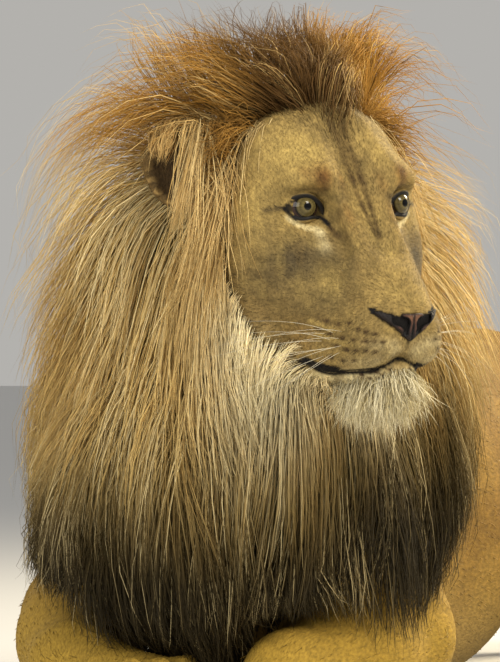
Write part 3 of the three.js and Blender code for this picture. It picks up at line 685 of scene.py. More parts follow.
SKIN = hair_material("short coat", 420, 0.28, 0.7, (1, 0.22, 0.6), Roughness=0.8, Specular_IOR_Level=0.2)
FUR = hair_material("coat tufts", 500, 0.12, Roughness=0.7, Specular_IOR_Level=0.25)
MANE = hair_material("mane hair", 160, 0.14, Roughness=0.7, Specular_IOR_Level=0.16)
EYE = hair_material("wet eye", 900, 0.05, Roughness=0.06, Specular_IOR_Level=0.22)
LID = hair_material("bare lid", 700, 0.15, 0.3, Roughness=0.6, Specular_IOR_Level=0.25)
LEATHER = hair_material("nose leather", 750, 0.2, 0.7, Roughness=0.5, Specular_IOR_Level=0.25)

floor_material, floor_tree, floor_shader = shader("pale floor", Roughness=0.85)
grit = add_node(floor_tree, "TexNoise", Scale=3)
tone = add_node(floor_tree, "MapRange", To_Min=0.6, To_Max=0.64)
floor_tree.links.new(grit.outputs["Fac"], tone.inputs["Value"])
floor_tree.links.new(tone.outputs["Result"], floor_shader.inputs["Base Color"])
FLOOR_HALF = 30000
corners = np.array([V(i, j, 0) * FLOOR_HALF for i, j in ((-1, -1), (1, -1), (1, 1), (-1, 1))])
floor = mesh_object("floor", corners, np.array([[0, 1, 2], [0, 2, 3]]), floor_material)

# ---------- regions of the body: how the coat lies there, and where it is on the unwrap ----------
def strip(u, width):
    """Corner and size, on the unwrap, of one of the narrow parts along its top."""
    return u, 0.8, width, 0.18


# Name, field, which way the coat lies, the unwrap's axis from and to, and corner and size on the unwrap.
REGIONS = [
    ("trunk", TRUNK, V(0, 1, -0.25), V(0, -120, 240), V(0, 1180, 290), (0.5, 0.46, 0.48, 0.32)),
    ("neck", NECK, V(0, 0.6, -0.8), V(5, -40, 190), head(-110, 0, 90), (0, 0, 1, 0.44)),
    ("head", join([FACE, JAW, *EARS], 1), V(0, 0, 0), head(-150, 0, 0), head(115, 0, -120),
     (0, 0.46, 0.48, 0.32)),
]
for s, at in ((1, 0.0), (-1, 0.5)):
    elbow, wrist, toes = FORELEG[s]
    heel, hind_toes, hock = HEEL[s], flip(s, HIND_TOES), flip(s, HOCK)
    hip, knee, shin = flip(s, HIP), flip(s, KNEE), V(s * 232, 740, 140)
    REGIONS += [
        ("arm", arm_field(s), V(s * 0.1, 0.35, -0.9), flip(s, BLADE), elbow, strip(at, 0.09)),
        ("forearm", forearm_field(s), wrist - elbow, elbow, wrist, strip(at + 0.1, 0.08)),
        ("forepaw", FOREPAW[s], toes - wrist, wrist, toes, strip(at + 0.19, 0.07)),
        ("thigh", THIGHS[s], V(s * 0.1, 0.5, -0.8), hip, knee, strip(at + 0.27, 0.07)),
        ("shank", SHANKS[s], hock - shin, shin, hock, strip(at + 0.35, 0.04)),
        ("hindpaw", HINDPAW[s], hind_toes - heel, heel, hind_toes, strip(at + 0.4, 0.04)),
    ]
REGIONS.append(("tail", TAIL_FLESH, V(0, 0, 0), V(0, 1130, 345), V(352, 740, 32), strip(0.45, 0.04)))
REGION_NAMES = [r[0] for r in REGIONS]
PAWS = ("forepaw", "hindpaw")
HEAD_REGION = REGION_NAMES.index("head")
NOSE_TIP = head(118, 0, -118)  # the face's coat lies away from it
UV_GAP = 0.004


def is_in(region, *wanted):
    """Whether each point's region is one of those named."""
    return np.isin(region, [i for i, name in enumerate(REGION_NAMES) if name in wanted])


def region_of(p):
    """The number of the nearest region."""
    distances = []
    for _, field, *_ in REGIONS:
        d = np.full(len(p), FAR)
        near = np.all((p > field.lo - REACH) & (p < field.hi + REACH), axis=1)
        if near.any():
            d[near] = field(p[near])
        distances.append(d)
    return np.argmin(distances, axis=0)


def coat_lie(p, normals, region):
    """Which way the short coat lies on the skin."""
    lie = np.array([unit(r[2]) if np.any(r[2]) else r[2] for r in REGIONS])[region]
    on_head = is_in(region, "head")
    lie[on_head] = unit(p[on_head] - NOSE_TIP)
    on_tail = np.flatnonzero(is_in(region, "tail"))
    if len(on_tail):
        ends = np.array(TAIL)
        mids = (ends[1:] + ends[:-1]) / 2
        nearest = np.linalg.norm(p[on_tail][:, None] - mids[None], axis=2).argmin(axis=1)
        lie[on_tail] = unit(ends[1:] - ends[:-1])[nearest]
    lie = lie - normals * np.einsum("ij,ij->i", lie, normals)[:, None]
    return unit(lie)


def unwrap(p, region):
    """Each root's place on the unwrap: round the body part's own axis, and along it."""
    out = np.zeros((len(p), 2))
    for i, (_, _, _, start, end, (u0, v0, width, height)) in enumerate(REGIONS):
        here = region == i
        if not here.any():
            continue
        axis = end - start
        length = np.linalg.norm(axis)
        axis = axis / length
        side = unit(np.cross(axis, UP if abs(axis[2]) < 0.8 else WORLD[1]))
        other = np.cross(side, axis)
        d = p[here] - start
        along = np.clip((d @ axis / length + 0.15) / 1.3, 0, 1)
        round_ = np.arctan2(d @ other, d @ side) / (2 * math.pi) + 0.5
        u, v = u0 + UV_GAP + (width - 2 * UV_GAP) * round_, v0 + UV_GAP + (height - 2 * UV_GAP) * along
        out[here] = np.stack([u, v], 1)
    return out


# ---------- the coat's markings ----------
SHORT_OF_FACE = 4500  # from the camera to where a line of sight is followed in small steps


def seen(x, y, mirrored=True):
    """The place on the face that the photo shows at x, y, in the head's frame, taken to its left half."""
    way = unit((x - PHOTO[0] / 2) * RIGHT + (PHOTO[1] / 2 - y) * UP - BACK * (LENS / SENSOR * PHOTO[1]))
    at = 1000 * (AIM + BACK * FAR_BACK) + SHORT_OF_FACE * way
    for _ in range(80):
        at = at + min(0.8 * MUZZLE(at[None])[0], 12) * way
    f, l, u = in_head(at)
    return f, abs(l) if mirrored else l, u


def traced(*points, mirrored=True):
    return [seen(x, y, mirrored) for x, y in points]


# The face's soft patches, on both sides: colour, strength, centre and radii.
BLOBS = [
    (FACE_LIGHT, 0.8, (-24, 62, 58), (60, 44, 34)),
    (FACE_LIGHT, 0.7, (50, 0, -50), (60, 15, 50)),
    (FACE_LIGHT, 0.5, (96, 10, -104), (20, 24, 14)),
    (CHEEK_GREY, 1.0, seen(292, 260), (44, 36, 28)),
    (CHEEK_GREY, 0.8, seen(322, 262), (36, 24, 24)),
    (CHEEK_GREY, 0.6, seen(330, 292), (30, 26, 24)),
    (CHEEK_GREY, 0.55, seen(262, 285), (36, 30, 30)),
    (CHEEK_GREY, 0.4, seen(300, 310), (36, 30, 26)),
    (RUST, 1.0, seen(324, 176), (20, 10, 14)),
    (SPOT_BROWN, 0.75, seen(324, 178), (14, 6, 9)),
    (SPOT_BROWN, 0.8, seen(326, 190), (14, 5, 6)),
    (RUST, 0.35, seen(306, 172), (14, 6, 8)),
    # Orange-brown by the bridge, on both sides: the coat's tone, deepened with painted shade of the bridge's
    # far side.
    (RUST, 0.45, seen(343, 182), (16, 6, 12)),
    (RUST, 0.4, seen(350, 215), (16, 6, 18)),
    # Painted shade in the forehead's furrow.
    (DARK_MARK_AND_SHADE, 0.35, seen(340, 160), (18, 10, 12)),
    (FACE_LIGHT, 0.7, seen(300, 150), (30, 26, 16)),
    (FACE_LIGHT, 0.6, seen(330, 280), (24, 14, 20)),
    (FACE_LIGHT, 0.7, seen(258, 205), (44, 34, 34)),
    (RUST, 0.25, seen(300, 335), (34, 26, 20)),
    (RUST, 0.2, seen(252, 320), (34, 30, 26)),
    (DARK_MARK_AND_SHADE, 0.85, seen(341, 198), (16, 10, 7)),
    (DARK_MARK_AND_SHADE, 0.5, seen(335, 215), (14, 5, 8)),
    (SPOT_BROWN, 0.6, seen(344, 236), (14, 6, 5)),
    (DARK_MARK_AND_SHADE, 0.4, seen(352, 262), (18, 8, 20)),
    (CREAM, 0.9, seen(321, 232), (10, 5, 5.5)),
    (CREAM, 0.45, seen(325, 244), (12, 6, 9)),
    (CREAM, 0.5, seen(385, 345), (26, 20, 9)),
    (CREAM, 0.7, seen(372, 362), (30, 22, 7)),
    (CREAM, 0.6, (96, 14, -168), (16, 12, 12)),
    (CREAM, 0.7, (-90, 90, -160), (40, 60, 46)),
]
# Its lines: colour, strength, points, half width and soft edge. The forehead's lie off its middle.
STROKES = [
    # Painted shade: a dark line down the middle of the forehead and the nose's bridge, where the furrow's and
    # the bridge's far side fall into shade.
    (SPOT_BROWN, 0.6, traced((343, 122), (346, 142), (354, 160), (361, 178), mirrored=False), 2, 9),
    (SPOT_BROWN, 0.6, traced((361, 178), (366, 192), (371, 206), mirrored=False), 1.2, 6),
    (SPOT_BROWN, 0.7, traced((371, 206), (376, 222), (381, 238), mirrored=False), 0.8, 4.5),
    # Painted shade above the upper lid's fold.
    (DARK_MARK_AND_SHADE, 0.45, traced((293, 197), (302, 190), (314, 189), (323, 196)), 0.6, 4),
    (UNDER_EYE, 0.95, traced((289, 218), (298, 224), (308, 228), (318, 229)), 1.6, 2.6),
    (BLACK, 1.0, traced((319, 214), (324, 219), (328, 223)), 2, 2.5),
    (BLACK, 0.9, traced((328, 223), (332, 229)), 0.8, 2.5),
    (SPOT_BROWN, 0.6, traced((332, 229), (338, 236)), 1.5, 4),
    (BLACK, 1.0, traced((299, 199), (292, 203), (285, 208), (291, 214), (297, 219)), 1.2, 2),
    (BLACK, 0.9, traced((288, 208), (293, 209)), 2.6, 3),
    (BLACK, 0.95, traced((285, 208), (279, 208.5)), 0.8, 2.4),
    (DARK_MARK_AND_SHADE, 0.8, traced((281, 208.5), (266, 210.5)), 0.6, 4),
    (BLACK, 1.0, traced((308, 362), (317, 367)), 4.6, 3),
    (BLACK, 1.0, traced((317, 368), (329, 371)), 6, 3),
    (BLACK, 1.0, traced((329, 371), (344, 373)), 2.6, 2.4),
    (BLACK, 1.0, traced((338, 371.5), (355, 371), (370, 369.5), (384, 366)), 1.2, 2),
    (BLACK, 1.0, [(112, 0, -152), (103, 0, -178)], 1.2, 2.4),
    (SPOT_BROWN, 0.6, traced((318, 327), (330, 334), (344, 338.5)), 0.5, 2.6),
    (SPOT_BROWN, 0.5, traced((317, 317), (327, 321), (342, 324)), 0.5, 3),
    (FACE_LIGHT, 0.8, traced((312, 321), (320, 325), (333, 330)), 1, 2.5),
    (FACE_LIGHT, 0.6, traced((318, 334), (332, 340), (346, 344)), 1, 3),
    (SPOT_BROWN, 0.35, traced((322, 341), (336, 346), (350, 350)), 0.5, 3),
]
# The whiskers' dark spots.
SPOTS = traced(
    (319, 329), (329, 334), (342, 338), (354, 340), (366, 341), (375, 341), (384, 342),
    (326, 321), (338, 324), (349, 323), (358, 329), (366, 332), (376, 334),
    (336, 345), (346, 350), (356, 351), (366, 351), (376, 352),
    (331, 358), (343, 361), (354, 361),
    (371, 373), (377, 372), (383, 375), (378, 379), (370, 378), (391, 370), (362, 376),
)


def coat_colour(p, normals, region):
    """The colour of the skin and of the fur rooted at p."""
    q = in_head(p)
    f, l, u = q.T
    coarse, fine = value_noise(p, 60, 1), value_noise(p, 7, 2)
    paw = is_in(region, *PAWS)
    leg = paw | is_in(region, "arm", "forearm", "shank")
    c = tint(
        np.tile(TAN, (len(p), 1)),
        (TAN_LIGHT, ramp(coarse, 0.35, 0.8) * 0.6),
        (BELLY, ramp(-normals[:, 2], 0.1, 0.8) * 0.8),
        (LEG_GOLD, 0.75 * ramp(p[:, 2], 230, 90) * lerp(0.35, 1.0, leg)),
        (PAW_CREAM, paw * ramp(70 - p[:, 2], 0, 50) * 0.8),
    )
    # Painted shade in the creases between the toes.
    for ankle, toes, size in PAW_PLANS[1] + PAW_PLANS[-1]:
        along, across = paw_frame(ankle, toes)
        d = p - toes
        between = np.abs((d @ across) / (0.5 * size))
        gap = np.minimum(np.abs(between - 1), between) * 0.5 * size
        ahead = d @ along
        at_toes = ramp(ahead, -30, 0) * (ahead < 60)
        c = tint(c, (SPOT_BROWN, paw * (1 - ramp(gap, 1.5, 5)) * at_toes * 0.75))
    tail_end = ramp(p[:, 0], 300, 370) * ramp(860 - p[:, 1], 0, 60) * is_in(region, "tail")
    c = tint(c, (MANE_DARK, tail_end))
    face = np.tile(FACE_TAN, (len(p), 1))
    for colour, weight, centre, radii in BLOBS:
        face = tint(face, (colour, weight * blob(q, centre, radii)))
    mottle = 0.35 * ramp(value_noise(p, 9, 8), 0.55, 0.85) * ramp(-u, -10, 60)
    face = tint(
        face,
        (CREAM, 0.9 * ramp(-u, 178, 194) * ramp(f, -80, -20)),
        (lerp(FACE_TAN, CHEEK_GREY, 0.5), 0.5 * ramp(value_noise(p, 24, 4), 0.45, 0.85)),
        (FACE_LIGHT, 0.22 * ramp(value_noise(p, 11, 6), 0.4, 0.9)),
        (lerp(SPOT_BROWN, FACE_TAN, 0.4), mottle),
    )
    face = face * (0.76 + 0.48 * value_noise(p * V(1, 1, 0.6), 3.2, 15))[:, None]
    for colour, weight, points, width, soft in STROKES:
        face = tint(face, (colour, weight * stroke(q, points, width, soft)))
    near = np.full(len(p), FAR)
    for spot in SPOTS:
        off = (np.stack([f, np.abs(l), u], 1) - V(*spot)) * V(0.5, 0.8, 1)
        near = np.minimum(near, np.linalg.norm(off, axis=1))
    seam = np.abs(FACE(p) - JAW(p))
    to_ear = nearer(ear_field, p)
    ears, inner = to_ear < 14, nearer(ear_hollow, p) < 5
    face = tint(
        face,
        (SPOT_BROWN, 1 - ramp(near, 1.2, 4)),
        (BLACK, (1 - ramp(seam, 1.5, 4.5)) * ramp(f, -14, -4) * (u < -165)),
        (BLACK, (nose_outline(p) < 0.5) * (f > 60)),
        (EAR_DARK, ears * ~inner * 0.75),
        # Painted shade in the ear's recessed hollow, over its hair's own brown.
        (EAR_HOLLOW_SHADE, ears * inner * 0.95),
        (EAR_RIM, 0.8 * ears * inner * ramp(to_ear, -11, 0)),
    )
    on_head = is_in(region, "head") | (is_in(region, "neck") & (ahead_of_hairline(p) > -20))
    c = np.where(on_head[:, None], face, c)
    return c * (0.86 + 0.28 * fine)[:, None]


# ---------- the skin ----------
FINE, COARSE = 3.1, 15  # the grid's spacing at the face and far from it
lines = [
    grid_line(-345, 432, 122, 326, FINE, COARSE),
    grid_line(-425, 1352, -368, -134, FINE, COARSE),
    grid_line(-3, 800, 402, 706, FINE, COARSE),
]
skin_verts, skin_tris = surface_of(skin_field, lines)
skin_normals = slope(skin_field, skin_verts)
skin_region = region_of(skin_verts)
skin = mesh_object("skin", skin_verts, skin_tris, SKIN, coat_colour(skin_verts, skin_normals, skin_region))
LIMBS = [f"{n}_{side}" for n in ("upper_arm", "forearm", "forepaw", "thigh", "shank", "hind_foot")
         for side in ("left", "right")]
dress(skin, ["torso", "head", "lower_jaw", "ear_left", "ear_right", "tail_root", "tail_middle",
                     *LIMBS])


# ---------- eyes and lids ----------
GAZE, GAZE_UP = math.radians(12), math.radians(2)
BULGE, BULGE_EDGE = 1.6, math.radians(42)  # the cornea's height and half width
EYE_SEGMENTS, LID_SEGMENTS = 72, 96
EYE_SHADE = 0.43  # how much the lids darken the iris and the white
# Degrees from the gaze of the eye's rings, close together where the pupil and the iris end.
EYE_RINGS = [0, 4, 8, 12, 14.5, 16, 17.5, 20, 24, 28, 31, 34, 36, 38, 40, 42, 46, 52, 60, 70, 82, 95,
             110, 130, 155, 180]


def eye_mesh(s):
    """An eyeball with a low bulge in front: its vertices, triangles and colours."""
    gaze = unit(V(math.cos(GAZE), s * math.sin(GAZE), math.sin(GAZE_UP))) @ HEAD_AXES
    side = unit(np.cross(gaze, TOP))
    rise = np.cross(side, gaze)
    count = EYE_SEGMENTS
    angle = np.radians(EYE_RINGS)[:, None]
    turn = np.linspace(0, 2 * math.pi, count, endpoint=False)[None]
    radius = EYE_R + BULGE * np.clip(1 - (angle / BULGE_EDGE) ** 2, 0, 1)
    verts = eye_centre(s) + (radius * np.cos(angle) + 0 * turn)[..., None] * gaze
    verts = verts + (radius * np.sin(angle) * np.cos(turn))[..., None] * side
    verts = verts + (radius * np.sin(angle) * np.sin(turn))[..., None] * rise
    degrees = np.degrees(angle) + 0 * turn
    streak = value_noise(np.stack([np.cos(turn) * 9, np.sin(turn) * 9, 0 * turn], 2)[0] * 3, 2.2, 5)[None]
    degrees, streak = degrees.ravel(), np.broadcast_to(streak, degrees.shape).ravel()
    iris = tint(
        np.tile(rgb(142, 126, 76), (degrees.size, 1)),
        (rgb(98, 86, 50), ramp(degrees, 17, 30)),
        (rgb(158, 140, 84), np.exp(-((degrees - 34) / 5) ** 2) * 0.5),
    )
    iris = tint(iris * (0.75 + 0.5 * streak)[:, None], (rgb(26, 20, 12), ramp(degrees, 38, 43)))
    iris = tint(
        iris * EYE_SHADE,
        (rgb(58, 40, 34), ramp(degrees, 45, 51) * 0.9),
        (rgb(40, 28, 24), ramp(degrees, 55, 68)),
        (rgb(4, 4, 5), 1 - ramp(degrees, 12.5, 15)),
    )
    rows, tris = len(EYE_RINGS), []
    for i in range(rows - 1):
        for j in range(count):
            a, b = i * count + j, i * count + (j + 1) % count
            if i > 0:
                tris.append((a, a + count, b))
            if i < rows - 2:
                tris.append((b, a + count, b + count))
    verts = verts.reshape(-1, 3)
    tris = np.array(tris)
    tris = np.where(tris < count, 0, tris)
    last = (rows - 1) * count
    tris = np.where(tris >= last, last, tris)
    used = np.unique(tris)
    renumber = np.zeros(len(verts), int)
    renumber[used] = np.arange(len(used))
    return verts[used], renumber[tris], iris[used]


# A lid is a ring on a ball a little larger than the eye: an almond opening, a dark bare rim, and a
# haired skirt that sinks into the skin. Each row: how far out from the opening, and its radius.
LID_ROWS = [(0.96, 17.6), (1.0, 18.6), (1.06, 19.8), (1.13, 20.7), (1.22, 21.2), (1.34, 21.4), (1.48, 20.9),
            (1.66, 19.4), (1.85, 17)]
OPENING_MIDDLE, OPENING_HALF, OPENING_UPPER, OPENING_LOWER = -20, 63, 33, 41
INNER_CORNER = {"reach": 15, "drop": 10, "rise": 9}
OUTER_CORNER_RISE, INNER_SLANT = 2, 18


def lid_mesh(s):
    """Both lids of one eye: vertices, triangles and colours."""
    count = LID_SEGMENTS
    turn = np.linspace(0, 2 * math.pi, count, endpoint=False)
    x, y = np.cos(turn), np.sin(turn)
    corner = np.clip(x, 0, 1) ** 8
    azimuth = OPENING_HALF * x + corner * INNER_CORNER["reach"]
    rise = np.where(y > 0, OPENING_UPPER * (1 + 0.1 * x), OPENING_LOWER * (1 - 0.15 * x)) * y
    rise = rise + np.where(x < 0, -OUTER_CORNER_RISE * x, -INNER_SLANT * x * x)
    rise = rise - corner * INNER_CORNER["drop"]
    verts = []
    for wide, radius in LID_ROWS:
        az, el = np.radians(OPENING_MIDDLE + azimuth * wide), np.radians(rise * wide)
        way = np.stack([np.cos(az) * np.cos(el), -s * np.sin(az) * np.cos(el), np.sin(el)], 1) @ HEAD_AXES
        brow = 1.2 * np.clip(y, 0, 1) * ramp(V(wide), 1.0, 1.2)
        verts.append(eye_centre(s) + way * (radius + brow + corner * INNER_CORNER["rise"])[:, None])
    verts = np.concatenate(verts)
    share = np.repeat([wide for wide, _ in LID_ROWS], count)
    rim = np.tile(np.where(y > 0, 1.24, 1.17) + 0.1 * corner, len(LID_ROWS))
    colours = coat_colour(verts, unit(verts - eye_centre(s)), np.full(len(verts), HEAD_REGION))
    colours = tint(colours, (BLACK, 1 - ramp(share - rim, -0.04, 0.05)))
    tris = []
    for i in range(len(LID_ROWS)):
        low, high = i * count, ((i + 1) % len(LID_ROWS)) * count
        for j in range(count):
            k = (j + 1) % count
            quad = (low + j, low + k, high + k, high + j)
            tris += [quad[:3], (quad[0], quad[2], quad[3])]
    tris = np.array(tris)
    return verts, (tris[:, ::-1] if s > 0 else tris), colours


for s, side in SIDES:
    verts, tris, colours = eye_mesh(s)
    dress(mesh_object(f"eyeball_{side}", verts, tris, EYE, colours), [f"eye_{side}"])
    verts, tris, colours = lid_mesh(s)
    dress(mesh_object(f"lids_{side}", verts, tris, LID, colours))

# ---------- nose ----------
NOSTRILS = join([
    *head_bars((111, 11, -133), (108, 20, -130), 6.5, 6),
    *head_bars((108, 20, -130), (93, 44, -115), 5.5, 3.2),
    *head_bars((112, 9, -135), (110, 8, -146), 4.5, 2.5),
], 3)


LEATHER_THICK, LEATHER_BACK = 2.4, 72


def nose_form(p):
    """A plate of bare skin over the muzzle's end, with the nostrils' commas cut in."""
    plate = -smin(LEATHER_THICK - FACE(p), -nose_outline(p), 3)
    plate = np.maximum(plate, LEATHER_BACK - in_head(p)[:, 0])
    return -smin(-plate, NOSTRILS(p), 2)


nose_lines = [np.arange(lo - 8, hi + 9, 1.5) for lo, hi in zip(NOSE.lo, NOSE.hi)]
nose_verts, nose_tris = surface_of(nose_form, nose_lines)
nose_q = in_head(nose_verts)
nose_colour = np.tile(NOSE_BROWN, (len(nose_verts), 1))
nose_colour = tint(
    nose_colour,
    # The leather's pinkish brown on top, lightened as a painted highlight.
    (rgb(120, 84, 58), 0.8 * blob(nose_q, (112, 8, -129), (14, 10, 5))),
    (BLACK, 0.95 * ramp(np.abs(nose_q[:, 1]), 18, 28)),
    (NOSE_DARK, 0.95 * ramp(-nose_q[:, 2], 137, 148)),
    (NOSE_DARK, 0.9 * (1 - ramp(-nose_outline(nose_verts), 0.5, 3))),
    (BLACK, 1 - ramp(NOSTRILS(nose_verts), 0.6, 2.4)),
    (BLACK, stroke(nose_q, [(114, 0, -137), (106, 0, -156)], 1, 2)),
)
nose_colour *= (0.8 + 0.4 * value_noise(nose_verts, 4, 9))[:, None]
dress(mesh_object("nose", nose_verts, nose_tris, LEATHER, nose_colour), ["nose_leather"])


# ---------- hair as closed tapered tubes ----------
HAIR_U, HAIR_V = 0.0012, 0.0015  # half the size of one hair on the unwrap
LOWEST = 0.5  # no hair's skin comes nearer the floor


def tubes(name, paths, radii, colours, uvs, facing, flat=1.0, material=MANE):
    """Three-sided tubes along paths (count, points, 3) that end in a tip; facing is each one's outer side."""
    count, points, _ = paths.shape
    along = unit(np.gradient(paths, axis=1))
    across = unit(np.cross(along, facing[:, None, :]))
    out = np.cross(across, along)
    ring = []
    for k in range(3):
        a = 2 * math.pi * (k + 0.25) / 3
        ring.append(
            paths[:, :-1]
            + across[:, :-1] * (radii[:, :, None] * math.cos(a))
            + out[:, :-1] * (radii[:, :, None] * math.sin(a) * flat)
        )
    rings = np.stack(ring, axis=2).reshape(count, -1, 3)
    verts = np.concatenate([rings, paths[:, -1:]], axis=1)
    verts[..., 2] = np.maximum(verts[..., 2], LOWEST)
    shades = np.concatenate([np.repeat(colours[:, :-1], 3, axis=1), colours[:, -1:]], axis=1)
    size = verts.shape[1]
    faces = [(0, 1, 2)]
    for i in range(points - 2):
        for k in range(3):
            a, b = 3 * i + k, 3 * i + (k + 1) % 3
            faces += [(a, a + 3, b), (b, a + 3, b + 3)]
    end = 3 * (points - 2)
    faces += [(end + k, size - 1, end + (k + 1) % 3) for k in range(3)]
    faces = np.array(faces)[:, ::-1]
    tris = (faces[None] + size * np.arange(count)[:, None, None]).reshape(-1, 3)
    spot = np.zeros((size, 2))
    spot[:-1, 0] = np.tile([-HAIR_U, 0, HAIR_U], points - 1)
    spot[:-1, 1] = np.repeat(np.linspace(-HAIR_V, HAIR_U, points - 1), 3)
    spot[-1, 1] = HAIR_V
    corner_uv = (uvs[:, None, :] + spot[faces.ravel()][None]).reshape(-1, 2)
    return mesh_object(name, verts.reshape(-1, 3), tris, material, shades.reshape(-1, 3), corner_uv)


def scatter(count, weight):
    """Points spread over the skin by area and by a weight per vertex, with their normals."""
    corners = skin_verts[skin_tris]
    area = np.linalg.norm(np.cross(corners[:, 1] - corners[:, 0], corners[:, 2] - corners[:, 0]), axis=1)
    share = np.cumsum(area * weight[skin_tris].mean(axis=1))
    pick = (np.arange(count) + rng.random(count)) / count * share[-1]
    tri = skin_tris[np.minimum(np.searchsorted(share, pick), len(skin_tris) - 1)]
    a, b = rng.random(count), rng.random(count)
    a, b = np.where(a + b > 1, 1 - a, a), np.where(a + b > 1, 1 - b, b)
    mix = np.stack([1 - a - b, a, b], axis=1)[..., None]
    return (skin_verts[tri] * mix).sum(1), unit((skin_normals[tri] * mix).sum(1))


# ---------- short fur ----------
def short_fur(name, count, weight, length, width, rise, pieces=1, shades=(0.93, 1.0, 1.06), mix=0.22):
    """Flat tufts that lie along the skin; length and width are functions of the root."""
    p, n = scatter(count, weight)
    region = region_of(p)
    lie = coat_lie(p, n, region)
    colour = coat_colour(p, n, region)
    bend = (value_noise(p, 25, 3) - 0.5)[:, None] * np.cross(n, lie)
    lie = unit(lie + 0.16 * bend + 0.08 * rng.normal(size=p.shape))
    long = length(p) * (0.7 + 0.6 * rng.random(len(p)))
    lift = rise * (0.5 + rng.random(len(p)))
    paths = np.stack([
        p - n * 0.6,
        p + lie * (0.5 * long)[:, None] + n * (lift * 0.8)[:, None],
        p + lie * long[:, None] + n * (lift * 1.1)[:, None],
    ], axis=1)
    radii = width(p)[:, None] * np.array([0.6, 0.5])[None]
    bright = (1 + mix * (2 * rng.random(len(p)) - 1))[:, None, None]
    colours = colour[:, None, :] * bright * np.array(shades)[None, :, None]
    uvs = unwrap(p, region)
    for i, part in enumerate(np.array_split(np.arange(len(p)), pieces)):
        dress(tubes(f"{name}_{i + 1}", paths[part], radii[part], colours[part], uvs[part], n[part], 0.4, FUR))


# Eyes, nose, the mouth's seam and the groove under the nose stay bare.
vertex_q = in_head(skin_verts)
hairline = ahead_of_hairline(skin_verts)
bare = nearer(lambda s: egg(eye_centre(s), [22] * 3), skin_verts) < 0
bare |= (nose_outline(skin_verts) < 1) & (vertex_q[:, 0] > 70)
seam = np.abs(FACE(skin_verts) - JAW(skin_verts))
bare |= ((seam < 4) & (vertex_q[:, 2] < -165) & (vertex_q[:, 0] > -14)) | (PHILTRUM(skin_verts) < 2)
on_face = is_in(skin_region, "head")
face_weight = (on_face & (hairline > -12) & ~bare) * np.where(vertex_q[:, 0] > 40, 1.6, 1.0)
short_fur(
    "face_fur",
    18500,
    face_weight,
    lambda p: 6 + 16 * (1 - ramp(ahead_of_hairline(p), 0, 40)),
    lambda p: 0.5 + 0.5 * (1 - ramp(ahead_of_hairline(p), 0, 45)),
    0.5,
    shades=(0.86, 1.0, 1.1),
    mix=0.3,
)
on_neck = mane_depth(skin_verts) < 12
body_weight = np.where(is_in(skin_region, *PAWS), 1.8, 1.0) * (~on_face & ~on_neck & (skin_verts[:, 2] > 6))
short_fur(
    "body_fur",
    16000,
    body_weight,
    lambda p: np.where(is_in(region_of(p), *PAWS), 8.0, 17.0),
    lambda p: np.full(len(p), 1.2),
    0.2,
    pieces=2,
    shades=(0.92, 1.04, 1.14),
    mix=0.32,
)


# ---------- long hair ----------
POINTS = 7
# Painted shade along each long hair, darkest at its root.
ROOT_PAINTED_SHADE = (0.55, 0.7, 0.85, 0.96, 1.04, 1.1, 1.16)  # from root to tip
HAIR_TAPER = (0.8, 1.0, 1.0, 0.9, 0.7, 0.42)
HAIR_LOW, HAIR_HIGH = V(-345, -FAR, 4), V(438, 2 * FAR, 868)  # keeps hair in the part's box, off the floor
BODY_ROOM = join([FACE, JAW, *both(ear_field)], 1)


def keep_out(at, fields):
    """Pushes points out of the body's solid parts."""
    for field, room in fields:
        near = np.all((at > field.lo - 10) & (at < field.hi + 10), axis=1)
        if near.any():
            gap = np.clip(room - field(at[near]), 0, 40)
            at[near] += slope(field, at[near]) * gap[:, None]
    return at


def gather(paths, roots, clumps, hold, pull=1.1):
    """Draws each hair towards the nearest of a few chosen ones, more and more to its tip."""
    nearest = np.empty(len(roots), int)
    for part in np.array_split(np.arange(len(roots)), max(1, len(roots) // ROOTS_AT_ONCE)):
        gaps = ((roots[part][:, None, :] - roots[clumps][None]) ** 2).sum(axis=2)
        nearest[part] = clumps[gaps.argmin(axis=1)]
    share = np.linspace(0, 1, paths.shape[1])[None, :, None]
    stay = (roots - roots[nearest])[:, None, :] * (1 - 0.75 * share)
    hold = np.minimum(hold * (0.5 + rng.random(len(roots))), 0.97)[:, None, None] * share**pull
    return paths * (1 - hold) + (paths[nearest] + stay) * hold, nearest


def hair(name, paths, roots, tone, thick, pieces, nodes, colour, facing, stray=8.0, curl=2.5, unshaded=0.0):
    """Long hair along paths, as one piece or more, darkened towards each root with painted shade, which the
    last argument, from 0 to 1, takes away.
    """
    count = len(roots)
    shades = lerp(np.array(ROOT_PAINTED_SHADE)[None, :], 1, np.reshape(unshaded, (-1, 1)))
    share = np.linspace(0, 1, POINTS)[None, :, None]
    paths = paths + (
        rng.normal(size=(count, 1, 3)) * share**2 * (stray * (0.3 + rng.random(count)))[:, None, None]
    )
    wave = np.sin(share * 9 + rng.random((count, 1, 1)) * 6) * rng.normal(size=(count, 1, 3))
    paths = paths + wave * curl * share
    paths = np.clip(paths, HAIR_LOW, HAIR_HIGH)
    colours = colour(paths.reshape(-1, 3), np.repeat(tone, POINTS)).reshape(count, POINTS, 3)
    colours = colours * shades[:, :, None] * (0.84 + 0.32 * rng.random((count, 1, 1)))
    radii = thick * (0.65 + 0.7 * rng.random((count, 1))) * np.array(HAIR_TAPER)[None]
    uvs = unwrap(roots, region_of(roots))
    for i, part in enumerate(np.array_split(np.arange(count), pieces)):
        tag = f"{name}_{i + 1}" if pieces > 1 else name
        dress(tubes(tag, paths[part], radii[part], colours[part], uvs[part], facing[part], 0.55), nodes)


# ---------- the mane ----------
FAN = V(-70, 0, 10)  # in the head's frame: the middle of the ruff's fan


